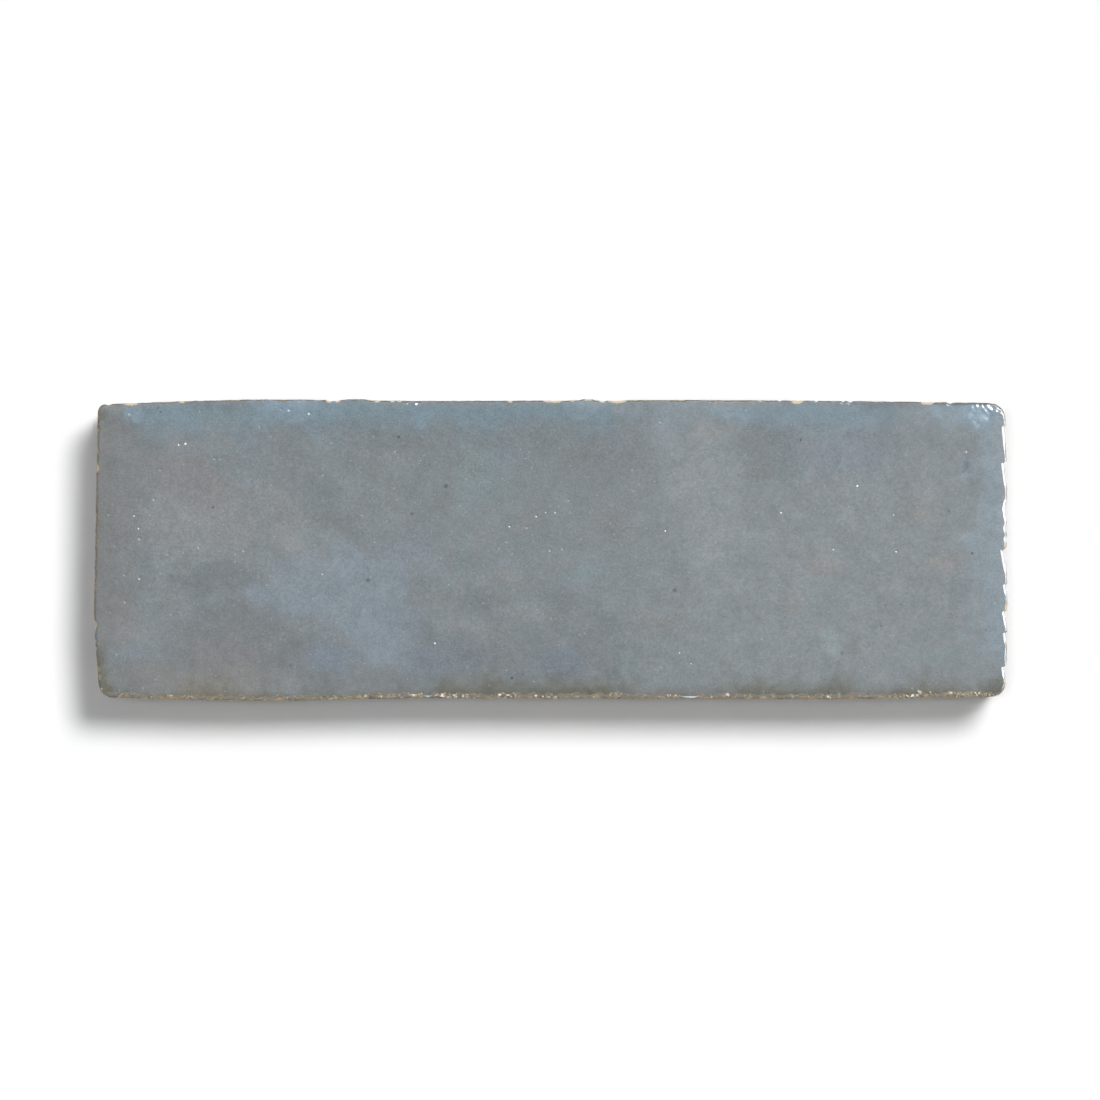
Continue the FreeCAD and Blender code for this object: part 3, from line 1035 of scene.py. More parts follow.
        store(mesh, "inset", everywhere(ring_insets * (below == 0), inner_inset, 0.0))
        store(mesh, "rim", everywhere(on_arris, far, far))
        for name in ("broken", "tint"):
            store(mesh, name, everywhere(np.tile(edge[name], ring_count), 0.0, 0.0))
        store(mesh, "above_line", everywhere(above_line, top, -top))
        store(mesh, "torn", everywhere(torn, 0.0, 0.0))
        store(mesh, "crumb", everywhere(crumb, 0.0, 0.0))
        face_share = everywhere(below == 0, 1.0, 0.0)
        store(mesh, "ripple", self.ripple_share(points[:, :2]) * face_share)
        store(mesh, "bead", self.bead_heights(points[:, :2]) * face_share)
        biscuit = np.zeros(len(quads) + len(face) + len(underside))
        biscuit[:self.back_steps * samples] = 1
        biscuit[-len(underside):] = 1
        store(mesh, "biscuit", biscuit, "FACE")

        shell = bpy.data.objects.new("tile_shell", mesh)
        bpy.context.scene.collection.objects.link(shell)
        return shell


@dataclass
class FiredRelief:
    """Relief that trimming and firing left, as a Geometry Nodes tree over the shell.

    Attributes:
        outline: outline of the face.
        solid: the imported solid, whose rolling face is followed.
        flakes: flakes off the glazed edge.
        pinholes: burst bubbles in the face.
        level_rim: distances from the edge over which the rolling face of the solid comes in.
        roll_blur: how often the rolling face is smoothed.
        swell_depth: depth of the soft swells in the glaze.
        swell_length: length of those swells.
        ripple_depth: depth of the ripples at the rippled edge.
        ripple_length: length of those ripples.
        torn_depth: roughness of the torn sides.
        torn_length: size of the lumps on them.
        crumb_depth: height of the crumbs in the thin glaze.
        crumb_length: size of those crumbs.
        crater_slope: depth of a pinhole's crater as a share of its width.
        stain_fill: how far a dark pinhole is filled up, from 0 to 1.
        ray_start: height above the face from which the rolling face is looked for.
        seed: level of the noises, fixed so that every run is alike.
    """

    outline: TileOutline
    solid: bpy.types.Object
    flakes: Sequence[Flake]
    pinholes: Sequence[Pinhole]
    level_rim: tuple[float, float] = (0.8, 3.0)
    roll_blur: int = 24
    swell_depth: float = 0.035
    swell_length: float = 9.0
    ripple_depth: float = 0.035
    ripple_length: float = 1.1
    torn_depth: float = 0.16
    torn_length: float = 1.8
    crumb_depth: float = 0.06
    crumb_length: float = 0.42
    crater_slope: float = 0.11
    stain_fill: float = 0.9
    ray_start: float = 5.0
    seed: float = 4.0

    @staticmethod
    def marks(name: str, points: np.ndarray, values: dict[str, np.ndarray]) -> bpy.types.Object:
        """Makes an object of loose points that carry values for the tree to read.

        Args:
            name: name of the object.
            points: the points.
            values: attributes by name.

        Returns:
            The new object, in the scene.
        """
        mesh = bpy.data.meshes.new(name)
        mesh.from_pydata((points * MM).tolist(), [], [])
        for key, numbers in values.items():
            store(mesh, key, numbers)
        made = bpy.data.objects.new(name, mesh)
        bpy.context.scene.collection.objects.link(made)
        return made

    def flake_marks(self) -> bpy.types.Object:
        """Marks the centres of the balls that shape the scars.

        Returns:
            An object with a point for each flake, which carries its ball's radius and its skin.
        """
        centres, radii = [], []
        for flake in self.flakes:
            arris = EDGES[flake.side].arris
            tilt = math.radians(flake.tilt)
            slant = np.append(flake.side.out * math.sin(tilt), math.cos(tilt))
            reach = float(self.outline.edge_line(flake.side, np.array([flake.at]))[0])
            middle = flake.side.along * flake.at + flake.side.out * (reach - arris)
            radius = (flake.length ** 2 / 4 + flake.bite ** 2) / (2 * flake.bite)
            arris_centre = np.append(middle, self.outline.height - arris)
            centres.append(arris_centre + slant * (arris + radius - flake.bite))
            radii.append(radius)
        bare = np.array([flake.skin.value for flake in self.flakes])
        return self.marks("flake_marks", np.array(centres), {"radius": np.array(radii) * MM, "bare": bare})

    def pinhole_marks(self) -> bpy.types.Object:
        """Marks the pinholes.

        Returns:
            An object with a point for each pinhole, which carries its radius and its stain.
        """
        points = np.array([(hole.x, hole.y, 0) for hole in self.pinholes])
        values = {"radius": np.array([hole.width / 2 for hole in self.pinholes]) * MM,
                  "stain": np.array([hole.stain for hole in self.pinholes])}
        return self.marks("pinhole_marks", points, values)

    def tree(self) -> bpy.types.NodeTree:
        """Builds the tree: rolling face, swells and ripples, torn sides, flakes, pinholes, materials.

        Returns:
            The tree, with its sizes as named inputs.
        """
        tree = bpy.data.node_groups.new("fired_relief", "GeometryNodeTree")
        tree.interface.new_socket("Geometry", in_out="OUTPUT", socket_type="NodeSocketGeometry")
        tree.interface.new_socket("Geometry", in_out="INPUT", socket_type="NodeSocketGeometry")
        for name in ("Solid", "Flakes", "Pinholes"):
            tree.interface.new_socket(name, in_out="INPUT", socket_type="NodeSocketObject")
        for name in ("Glaze", "Biscuit"):
            tree.interface.new_socket(name, in_out="INPUT", socket_type="NodeSocketMaterial")
        tree.interface.new_socket("Flake Count", in_out="INPUT", socket_type="NodeSocketInt")
        for name in ("Ray Start", "Swell Depth", "Swell Length", "Ripple Depth", "Ripple Length",
                     "Torn Depth", "Torn Length", "Crumb Depth", "Crumb Length", "Crater Slope", "Seed"):
            tree.interface.new_socket(name, in_out="INPUT", socket_type="NodeSocketFloat")
        sizes = add_node(tree, "NodeGroupInput").outputs
        spot = add_node(tree, "GeometryNodeInputPosition").outputs[0]

        def value(operation: str, *inputs: Any) -> bpy.types.NodeSocket:
            """Result of a sum on numbers."""
            return add_node(tree, "ShaderNodeMath", dict(enumerate(inputs)), operation=operation).outputs[0]

        def attribute(name: str) -> bpy.types.NodeSocket:
            """A named attribute of the mesh that is being changed."""
            return add_node(tree, "GeometryNodeInputNamedAttribute", {"Name": name},
                            data_type="FLOAT").outputs["Attribute"]

        def bumps(length: bpy.types.NodeSocket, detail: float) -> bpy.types.NodeSocket:
            """A noise of about -1 to 1 with lumps of a length."""
            wave = add_node(tree, "ShaderNodeTexNoise", {
                "Vector": spot, "W": sizes["Seed"], "Scale": value("DIVIDE", 1.0, length), "Detail": detail,
            }, noise_dimensions="4D").outputs[0]
            return value("MULTIPLY_ADD", wave, 4.0, -2.0)

        # The face takes the height of the solid's rolling face under each point, smoothed.
        solid = add_node(tree, "GeometryNodeObjectInfo", {"Object": sizes["Solid"]}).outputs["Geometry"]
        lift = add_node(tree, "ShaderNodeCombineXYZ", {"Z": sizes["Ray Start"]}).outputs[0]
        start = add_node(tree, "ShaderNodeVectorMath", {0: spot, 1: lift}, operation="ADD").outputs[0]
        ray = add_node(tree, "GeometryNodeRaycast", {
            "Target Geometry": solid, "Source Position": start, "Ray Direction": (0, 0, -1)})
        drop = add_node(tree, "ShaderNodeVectorMath", {0: ray.outputs["Hit Position"], 1: spot},
                        operation="SUBTRACT").outputs[0]
        fall = add_node(tree, "ShaderNodeSeparateXYZ", {0: drop}).outputs["Z"]
        inside = add_node(tree, "ShaderNodeMapRange", {
            "Value": attribute("inset"), "From Min": self.level_rim[0], "From Max": self.level_rim[1],
        }, interpolation_type="SMOOTHSTEP").outputs[0]
        rolled = add_node(tree, "GeometryNodeBlurAttribute", {
            "Value": value("MULTIPLY", fall, inside), "Iterations": self.roll_blur,
        }, data_type="FLOAT").outputs[0]
        swells = value("MULTIPLY", bumps(sizes["Swell Length"], 2.0), sizes["Swell Depth"])
        swell = value("MULTIPLY", swells, inside)
        ripples = value("MULTIPLY", bumps(sizes["Ripple Length"], 1.0), sizes["Ripple Depth"])
        ripple = value("MULTIPLY", ripples, attribute("ripple"))
        height = value("ADD", value("ADD", rolled, swell), value("ADD", ripple, attribute("bead")))
        upward = add_node(tree, "ShaderNodeCombineXYZ", {"Z": height}).outputs[0]
        waved = add_node(tree, "GeometryNodeSetPosition", {
            "Geometry": sizes["Geometry"], "Offset": upward}).outputs[0]

        # Torn clay on the sides and crumbs in the thin glaze stand out along the surface's normal.
        lumps = value("MULTIPLY", bumps(sizes["Torn Length"], 4.0), sizes["Torn Depth"])
        torn = value("MULTIPLY", lumps, attribute("torn"))
        crumbs = value("MULTIPLY", bumps(sizes["Crumb Length"], 2.0), sizes["Crumb Depth"])
        crumb = value("MULTIPLY", crumbs, attribute("crumb"))
        normal = add_node(tree, "GeometryNodeInputNormal").outputs[0]
        proud = add_node(tree, "ShaderNodeVectorMath", {0: normal, "Scale": value("ADD", torn, crumb)},
                         operation="SCALE").outputs[0]
        rough = add_node(tree, "GeometryNodeSetPosition", {"Geometry": waved, "Offset": proud}).outputs[0]
        unscarred = add_node(tree, "GeometryNodeStoreNamedAttribute", {
            "Geometry": rough, "Name": "scar", "Value": NO_SCAR,
        }, data_type="FLOAT", domain="POINT").outputs[0]

        # Each flake pushes the points inside its ball out to the ball's surface.
        flakes = add_node(tree, "GeometryNodeObjectInfo", {"Object": sizes["Flakes"]}).outputs["Geometry"]
        turn_in = tree.nodes.new("GeometryNodeRepeatInput")
        turn_out = tree.nodes.new("GeometryNodeRepeatOutput")
        turn_in.pair_with_output(turn_out)
        tree.links.new(sizes["Flake Count"], turn_in.inputs["Iterations"])
        tree.links.new(unscarred, turn_in.inputs["Geometry"])
        number = turn_in.outputs["Iteration"]

        def of_flake(field_socket: bpy.types.NodeSocket, data_type: str) -> bpy.types.NodeSocket:
            """A value of the flake whose turn it is."""
            return add_node(tree, "GeometryNodeSampleIndex", {
                "Geometry": flakes, "Value": field_socket, "Index": number}, data_type=data_type).outputs[0]

        ball, radius = of_flake(spot, "FLOAT_VECTOR"), of_flake(attribute("radius"), "FLOAT")
        bare = of_flake(attribute("bare"), "FLOAT")
        away = add_node(tree, "ShaderNodeVectorMath", {0: spot, 1: ball}, operation="SUBTRACT").outputs[0]
        distance = add_node(tree, "ShaderNodeVectorMath", {0: away}, operation="LENGTH").outputs["Value"]
        bitten = value("LESS_THAN", distance, radius)
        depth = value("DIVIDE", value("SUBTRACT", radius, distance), MM)
        own_scar = value("MULTIPLY_ADD", value("SUBTRACT", depth, NO_SCAR), bare, NO_SCAR)
        scar = value("MAXIMUM", attribute("scar"), own_scar)
        noted = add_node(tree, "GeometryNodeStoreNamedAttribute", {
            "Geometry": turn_in.outputs["Geometry"], "Name": "scar", "Value": scar,
        }, data_type="FLOAT", domain="POINT").outputs[0]
        outward = add_node(tree, "ShaderNodeVectorMath", {
            0: away, "Scale": value("DIVIDE", radius, distance)}, operation="SCALE").outputs[0]
        onto_ball = add_node(tree, "ShaderNodeVectorMath", {0: ball, 1: outward}, operation="ADD").outputs[0]
        flaked = add_node(tree, "GeometryNodeSetPosition", {
            "Geometry": noted, "Selection": bitten, "Position": onto_ball}).outputs[0]
        tree.links.new(flaked, turn_out.inputs["Geometry"])

        # Each point of the face looks up its nearest pinhole and sinks into that crater.
        holes = add_node(tree, "GeometryNodeObjectInfo", {"Object": sizes["Pinholes"]}).outputs["Geometry"]
        plan = add_node(tree, "ShaderNodeVectorMath", {0: spot, 1: (1, 1, 0)},
                        operation="MULTIPLY").outputs[0]
        nearest = add_node(tree, "GeometryNodeSampleNearest", {
            "Geometry": holes, "Sample Position": plan}, domain="POINT").outputs[0]

        def of_hole(field_socket: bpy.types.NodeSocket, data_type: str) -> bpy.types.NodeSocket:
            """A value of the nearest pinhole."""
            return add_node(tree, "GeometryNodeSampleIndex", {
                "Geometry": holes, "Value": field_socket, "Index": nearest}, data_type=data_type).outputs[0]

        hole_radius = of_hole(attribute("radius"), "FLOAT")
        apart = add_node(tree, "ShaderNodeVectorMath", {0: plan, 1: of_hole(spot, "FLOAT_VECTOR")},
                         operation="DISTANCE").outputs["Value"]
        bowl = add_node(tree, "ShaderNodeMapRange", {
            "Value": value("DIVIDE", apart, hole_radius), "From Min": 1.0, "From Max": 0.0,
        }, interpolation_type="SMOOTHSTEP").outputs[0]
        on_face = value("MULTIPLY", bowl, value("GREATER_THAN", attribute("inset"), 0.0))
        stain = of_hole(attribute("stain"), "FLOAT")
        pit = value("MULTIPLY", on_face, stain)
        stained = add_node(tree, "GeometryNodeStoreNamedAttribute", {
            "Geometry": turn_out.outputs["Geometry"], "Name": "pit", "Value": pit,
        }, data_type="FLOAT", domain="POINT").outputs[0]
        hollow = value("MULTIPLY_ADD", stain, -self.stain_fill, 1.0)
        slope = value("MULTIPLY", sizes["Crater Slope"], hollow)
        crater = value("MULTIPLY", value("MULTIPLY", hole_radius, -2.0), slope)
        sink = add_node(tree, "ShaderNodeCombineXYZ", {"Z": value("MULTIPLY", on_face, crater)}).outputs[0]
        pitted = add_node(tree, "GeometryNodeSetPosition", {"Geometry": stained, "Offset": sink}).outputs[0]

        whole = add_node(tree, "GeometryNodeRealizeInstances", {"Geometry": pitted}).outputs[0]
        glazed = add_node(tree, "GeometryNodeSetMaterial", {
            "Geometry": whole, "Material": sizes["Glaze"]}).outputs[0]
        dressed = add_node(tree, "GeometryNodeSetMaterial", {
            "Geometry": glazed, "Selection": value("GREATER_THAN", attribute("biscuit"), 0.5),
            "Material": sizes["Biscuit"]}).outputs[0]
        add_node(tree, "NodeGroupOutput", {"Geometry": dressed})
        return tree

    def apply(self, shell: bpy.types.Object, glaze: bpy.types.Material, biscuit: bpy.types.Material,
              name: str) -> bpy.types.Object:
        """Runs the tree on the shell and keeps the result as a plain mesh.

        Args:
            shell: object that carries the shell, which is used up.
            glaze: material of the glazed surfaces.
            biscuit: material of the back.
            name: name of the finished piece.

        Returns:
            The finished piece, without modifiers.
        """
        flakes, pinholes = self.flake_marks(), self.pinhole_marks()
        tree = self.tree()
        modifier = shell.modifiers.new("fired_relief", "NODES")
        modifier.node_group = tree
        values = {
            "Solid": self.solid, "Flakes": flakes, "Pinholes": pinholes, "Glaze": glaze, "Biscuit": biscuit,
            "Flake Count": len(self.flakes), "Ray Start": self.ray_start * MM,
            "Swell Depth": self.swell_depth * MM, "Swell Length": self.swell_length * MM,
            "Ripple Depth": self.ripple_depth * MM, "Ripple Length": self.ripple_length * MM,
            "Torn Depth": self.torn_depth * MM, "Torn Length": self.torn_length * MM,
            "Crumb Depth": self.crumb_depth * MM, "Crumb Length": self.crumb_length * MM,
            "Crater Slope": self.crater_slope, "Seed": self.seed,
        }
        for socket in tree.interface.items_tree:
            if socket.in_out == "INPUT" and socket.name in values:
                modifier[socket.identifier] = values[socket.name]
        depsgraph = bpy.context.evaluated_depsgraph_get()
        mesh = bpy.data.meshes.new_from_object(shell.evaluated_get(depsgraph), preserve_all_data_layers=True,
                                               depsgraph=depsgraph)
        shell.modifiers.remove(modifier)
        for used in (shell, flakes, pinholes):
            bpy.data.objects.remove(used)
        mesh.name = name
        piece = bpy.data.objects.new(name, mesh)
        bpy.context.scene.collection.objects.link(piece)
        return piece


@dataclass
class GlazePainting:
    """Tones of the glaze over the face, with painted glints and a painted sheen, as a colour on every point
    of the mesh.

    Attributes:
        outline: outline of the face.
        base: colour that most of the glaze has.
        patches: soft patches, laid one over the other, a few of them painted glints.
        bands: tones that follow the edges, one of them a painted sheen.
        drift: how far and over which lengths the patches are pulled out of shape.
        mottle: how far and over which lengths the glaze varies in lightness.
        hue_drift: how far and over which lengths the hue wavers between pooled and warm glaze.
        band_drift: how far and over which lengths the depth of a band varies.
        band_ends: length over which a band comes in at each end.
    """

    outline: TileOutline
    base: str = "#798083"
    patches: Sequence[Patch] = PATCHES
    bands: Sequence[Band] = BANDS
    drift: tuple[tuple[float, float], ...] = ((1.2, 12.0), (1.4, 4.0), (0.7, 1.3))
    mottle: tuple[tuple[float, float], ...] = ((0.03, 14.0), (0.1, 4.0), (0.075, 1.5))
    hue_drift: tuple[tuple[float, float], ...] = ((0.2, 6.0), (0.25, 2.0))
    band_drift: tuple[tuple[float, float], ...] = ((0.45, 6.0), (0.4, 1.6))
    band_ends: float = 6.0

    def colours(self, plan: np.ndarray) -> np.ndarray:
        """Works out the colour of the glaze.

        Args:
            plan: plan positions.

        Returns:
            A linear colour with alpha for each position.
        """
        colours = np.tile(linear(self.base), (len(plan), 1))

        def blend(tone: Tone, share: np.ndarray) -> None:
            """Takes the colours towards a tone."""
            colours[:] += np.clip(share, 0, 1)[:, None] * (np.array(linear(tone.value)) - colours)

        def strays(layers: Sequence[tuple[float, float]], first: Layer) -> np.ndarray:
            """Soft random values, added up from layers that each have a strength and a length."""
            return sum(far * clouds(plan, length, first + i) for i, (far, length) in enumerate(layers))

        pull = [strays(self.drift, Layer.PULL_ALONG), strays(self.drift, Layer.PULL_ACROSS)]
        pulled = plan + np.column_stack(pull)
        hue = strays(self.hue_drift, Layer.HUE)
        blend(Tone.POOL, np.maximum(hue, 0))
        blend(Tone.WARM, np.maximum(-hue, 0))
        for patch in self.patches:
            turn = math.radians(patch.turn)
            offset = pulled - (patch.x, patch.y)
            along = (offset @ (math.cos(turn), math.sin(turn))) / patch.reach[0]
            across = (offset @ (-math.sin(turn), math.cos(turn))) / patch.reach[1]
            blend(patch.tone, patch.strength * np.exp(-np.hypot(along, across) ** patch.fade))
        insets = self.outline.insets(plan)
        deeper = 1 + strays(self.band_drift, Layer.BAND)
        for band in self.bands:
            start, end = band.span
            at = pulled @ band.side.along
            reach = np.maximum(insets[band.side] * deeper, 0) / band.depth
            come_in = smooth_step(at, start, start + self.band_ends)
            run_out = smooth_step(at, end - self.band_ends, end)
            blend(band.tone, band.strength * come_in * (1 - run_out) * np.exp(-reach ** band.fade))
        lightness = 1 + strays(self.mottle, Layer.MOTTLE)
        return np.column_stack([colours * lightness[:, None], np.ones(len(plan))])

    def paint(self, piece: bpy.types.Object) -> None:
        """Writes the colours on a piece as its attribute glaze_tone."""
        places = np.zeros(len(piece.data.vertices) * 3)
        piece.data.vertices.foreach_get("co", places)
        store(piece.data, "glaze_tone", self.colours(places.reshape(-1, 3)[:, :2] / MM))


@dataclass(frozen=True)
class BiscuitClay:
    """Fired buff clay, cut with a wire and torn by the knife: dry, sandy and matt.

    Attributes:
        light: colour of the clay's pale parts.
        dark: colour of its deeper parts.
        grog: colour of the crushed fired grit in it.
        cloud: size of the pale and deep parts.
        cloud_span: values of the pattern that they run between.
        grit: size of the grit.
        grit_span: values of the pattern over which the grit comes out.
        grain: size of the sandy grain.
        roughness: how matt it is.
        specular: how much of the light its dry surface mirrors, where 0.5 is a smooth one.
        relief: height of the grain.
    """

    light: str = "#a0968a"
    dark: str = "#81776b"
    grog: str = "#5f554a"
    cloud: float = 7.0
    cloud_span: tuple[float, float] = (0.35, 0.65)
    grit: float = 0.9
    grit_span: tuple[float, float] = (0.62, 0.7)
    grain: float = 0.35
    roughness: float = 0.88
    specular: float = 0.05
    relief: float = 0.06

    def colour(self, tree: bpy.types.NodeTree, spot: bpy.types.NodeSocket) -> bpy.types.NodeSocket:
        """Adds the colour of the clay to a tree.

        Args:
            tree: shader tree.
            spot: position in the piece.

        Returns:
            Socket that carries the colour.
        """
        cloud = add_node(tree, "ShaderNodeTexNoise", {
            "Vector": spot, "Scale": per_metre(self.cloud), "Detail": 5.0}).outputs[0]
        shade = add_node(tree, "ShaderNodeMapRange", {
            "Value": cloud, "From Min": self.cloud_span[0], "From Max": self.cloud_span[1]}).outputs[0]
        body = add_node(tree, "ShaderNodeMixRGB", {
            "Fac": shade, "Color1": paint(self.dark), "Color2": paint(self.light)}).outputs[0]
        grit = add_node(tree, "ShaderNodeTexNoise", {
            "Vector": spot, "Scale": per_metre(self.grit), "Detail": 3.0}).outputs[0]
        specks = add_node(tree, "ShaderNodeMapRange", {
            "Value": grit, "From Min": self.grit_span[0], "From Max": self.grit_span[1]}).outputs[0]
        return add_node(tree, "ShaderNodeMixRGB", {
            "Fac": specks, "Color1": body, "Color2": paint(self.grog)}).outputs[0]

    def grain_height(self, tree: bpy.types.NodeTree, spot: bpy.types.NodeSocket) -> bpy.types.NodeSocket:
        """Adds the height of the sandy grain to a tree, from 0 to 1."""
        return add_node(tree, "ShaderNodeTexNoise", {
            "Vector": spot, "Scale": per_metre(self.grain), "Detail": 3.0}).outputs[0]

    def material(self) -> bpy.types.Material:
        """Makes the material of the back.

        Returns:
            The material.
        """
        made = bpy.data.materials.new("biscuit_clay")
        made.use_nodes = True
        tree = made.node_tree
        shader = tree.nodes["Principled BSDF"]
        spot = add_node(tree, "ShaderNodeTexCoord").outputs["Object"]
        tree.links.new(self.colour(tree, spot), shader.inputs["Base Color"])
        shader.inputs["Roughness"].default_value = self.roughness
        shader.inputs["Specular IOR Level"].default_value = self.specular
        bump = add_node(tree, "ShaderNodeBump", {
            "Height": self.grain_height(tree, spot), "Distance": self.relief * MM, "Strength": 1.0})
        tree.links.new(bump.outputs[0], shader.inputs["Normal"])
        return made


@dataclass(frozen=True)
class ColouredGlaze:
    """Glossy grey-blue glaze, poured by hand over biscuit clay and fired.

    It is clouded where it lay thick, and brown and crumbly where it ran thin over the edges. Bare
    clay shows in fresh flakes and below the line where the glaze stopped on the sides.

    Attributes:
        clay: the clay under it.
        pale: colour of the tiny pale specks in it, partly white bubbles and partly painted glints.
        stain: colour at the bottom of a dark pinhole.
        fresh: colour of clay that a flake has just laid bare.
        thin: colours from bare clay at the edge into the full glaze.
        crumbs: colours of the crumbs that stuck in the thin glaze.
        ior: refractive index of a lead-free glaze.
        specular: how much of the light its surface mirrors, where 0.5 is a smooth one.
        roughness: gloss of the full glaze.
        thin_roughness: gloss of the thin glaze.
        grain: size of the fine grain in the glaze, drawn coarser than the real one so that it shows.
        grain_change: how far that grain varies in lightness.
        speck: size of the pale specks.
        speck_span: values of the pattern over which a speck comes out.
        speck_share: how pale a speck is at most.
        crumb: size of the crumbs.
        crumb_cluster: size of the clusters that the crumbs lie in.
        cluster_span: values of the pattern over which a cluster comes out.
        thin_break: length of the breaks in the line of thin glaze.
        thin_end: where the full glaze takes over, in widths of that line.
        cloud: size of the cloudy specks in the glaze.
        cloud_change: how far those specks vary in lightness.
        scar_edge: how ragged the border of a flake is.
        scar_blur: depth over which that border turns from glaze to clay.
        orange_peel: size of the fine unevenness of its surface.
        peel_height: height of that unevenness.
        line_wander: how far the end of the glaze on the sides strays.
        line_bend: length of those strays.
        line_blur: half the height over which the glaze ends there.
        fresh_share: how much of a flake's clay has the fresh colour.
    """

    clay: BiscuitClay
    pale: str = "#b4bcc0"
    stain: str = "#38393a"
    fresh: str = "#dfc8a8"
    thin: tuple[str, ...] = ("#a28c66", "#746546", "#595243", "#66655c")
    crumbs: tuple[str, ...] = (
        "#433a29", "#5d523b", "#74674b", "#4d4431", "#877957", "#544a36", "#a59675", "#e4dcca")
    ior: float = 1.55
    specular: float = 0.5
    roughness: float = 0.12
    thin_roughness: float = 0.55
    grain: float = 0.3
    grain_change: float = 0.16
    speck: float = 0.5
    speck_span: tuple[float, float] = (0.72, 0.8)
    speck_share: float = 0.5
    crumb: float = 0.3
    crumb_cluster: float = 2.5
    cluster_span: tuple[float, float] = (0.46, 0.6)
    thin_break: float = 1.2
    thin_end: tuple[float, float] = (0.75, 1.35)
    cloud: float = 0.65
    cloud_change: float = 0.08
    scar_edge: float = 0.07
    scar_blur: float = 0.03
    orange_peel: float = 1.1
    peel_height: float = 0.01
    line_wander: float = 0.5
    line_bend: float = 1.6
    line_blur: float = 0.06
    fresh_share: float = 0.85

    def material(self) -> bpy.types.Material:
        """Makes the material of the face and the sides.

        Returns:
            The material.
        """
        made = bpy.data.materials.new("coloured_glaze")
        made.use_nodes = True
        tree = made.node_tree
        shader = tree.nodes["Principled BSDF"]
        spot = add_node(tree, "ShaderNodeTexCoord").outputs["Object"]

        def value(operation: str, *inputs: Any) -> bpy.types.NodeSocket:
            """Result of a sum on numbers."""
            return add_node(tree, "ShaderNodeMath", dict(enumerate(inputs)), operation=operation).outputs[0]

        def attribute(name: str) -> bpy.types.Node:
            """An attribute of the mesh."""
            return add_node(tree, "ShaderNodeAttribute", attribute_name=name)

        def speckle(size: float, detail: float) -> bpy.types.NodeSocket:
            """A noise from 0 to 1 with lumps of a size."""
            return add_node(tree, "ShaderNodeTexNoise", {
                "Vector": spot, "Scale": per_metre(size), "Detail": detail}).outputs[0]

        def between(source: bpy.types.NodeSocket, span: tuple[float, float], start: float = 0.0,
                    end: float = 1.0) -> bpy.types.NodeSocket:
            """A value brought from one range to another and kept inside it."""
            return add_node(tree, "ShaderNodeMapRange", {
                "Value": source, "From Min": span[0], "From Max": span[1],
                "To Min": start, "To Max": end}).outputs[0]

        def mix(share: Any, under: Any, over: Any, blend_type: str = "MIX") -> bpy.types.NodeSocket:
            """One colour laid over another."""
            return add_node(tree, "ShaderNodeMixRGB", {"Fac": share, "Color1": under, "Color2": over},
                            blend_type=blend_type).outputs[0]

        def ramp(source: bpy.types.NodeSocket, colours: Sequence[str],
                 constant: bool) -> bpy.types.NodeSocket:
            """Lays colours in even steps along a value from 0 to 1.

            Args:
                source: the value.
                colours: hex colours in order.
                constant: whether each colour stays the same over its step.

            Returns:
                Socket that carries the colour.
            """
            node = add_node(tree, "ShaderNodeValToRGB", {"Fac": source})
            node.color_ramp.interpolation = "CONSTANT" if constant else "LINEAR"
            steps = len(colours) if constant else len(colours) - 1
            stops = node.color_ramp.elements
            stops[0].color = paint(colours[0])
            stops[1].position, stops[1].color = 1 / steps, paint(colours[1])
            for i, colour in enumerate(colours[2:], start=2):
                stops.new(i / steps).color = paint(colour)
            return node.outputs[0]

        # Full glaze: its clouded tone, a fine grain and tiny pale specks, partly white bubbles and partly
        # painted glints.
        grain = between(speckle(self.grain, 2.0), WIDE_NOISE_SPAN,
                        1 - self.grain_change, 1 + self.grain_change)
        cloud = between(speckle(self.cloud, 2.0), WIDE_NOISE_SPAN,
                        1 - self.cloud_change, 1 + self.cloud_change)
        full = mix(1.0, attribute("glaze_tone").outputs["Color"], value("MULTIPLY", grain, cloud), "MULTIPLY")
        specks = between(speckle(self.speck, 1.0), self.speck_span, 0.0, self.speck_share)
        full = mix(specks, full, paint(self.pale))
        full = mix(attribute("pit").outputs["Fac"], full, paint(self.stain))

        # Thin glaze along the edge, with crumbs where they stuck.
        broken = between(speckle(self.thin_break, 3.0), NOISE_SPAN, -1.0, 1.0)
        breaks = value("MULTIPLY", attribute("broken").outputs["Fac"], broken)
        rim = value("ADD", attribute("rim").outputs["Fac"], breaks)
        line = ramp(rim, self.thin, False)
        cells = add_node(tree, "ShaderNodeTexVoronoi", {"Vector": spot, "Scale": per_metre(self.crumb)})
        pick = add_node(tree, "ShaderNodeSeparateColor", {0: cells.outputs["Color"]}).outputs[0]
        clusters = between(speckle(self.crumb_cluster, 2.0), self.cluster_span)
        crumb_share = value("MULTIPLY", attribute("crumb").outputs["Fac"], clusters)
        line = mix(crumb_share, line, ramp(pick, self.crumbs, True))
        # Painted light and shade: the edge line is lightened or darkened side by side.
        line = mix(1.0, line, attribute("tint").outputs["Fac"], "MULTIPLY")
        covered = between(rim, self.thin_end)
        glaze = mix(covered, line, full)

        # Bare clay in fresh flakes and below the end of the glaze on the sides.
        stray = between(speckle(self.line_bend, 4.0), NOISE_SPAN, -self.line_wander, self.line_wander)
        above = value("ADD", attribute("above_line").outputs["Fac"], stray)
        bare_side = between(above, (self.line_blur, -self.line_blur))
        ragged = between(speckle(self.crumb, 3.0), NOISE_SPAN, -self.scar_edge, self.scar_edge)
        bare_scar = between(value("ADD", attribute("scar").outputs["Fac"], ragged), (0.0, self.scar_blur))
        bare = value("MAXIMUM", bare_side, bare_scar)
        body = self.clay.colour(tree, spot)
        clay = mix(value("MULTIPLY", bare_scar, self.fresh_share), body, paint(self.fresh))
        tree.links.new(mix(bare, glaze, clay), shader.inputs["Base Color"])

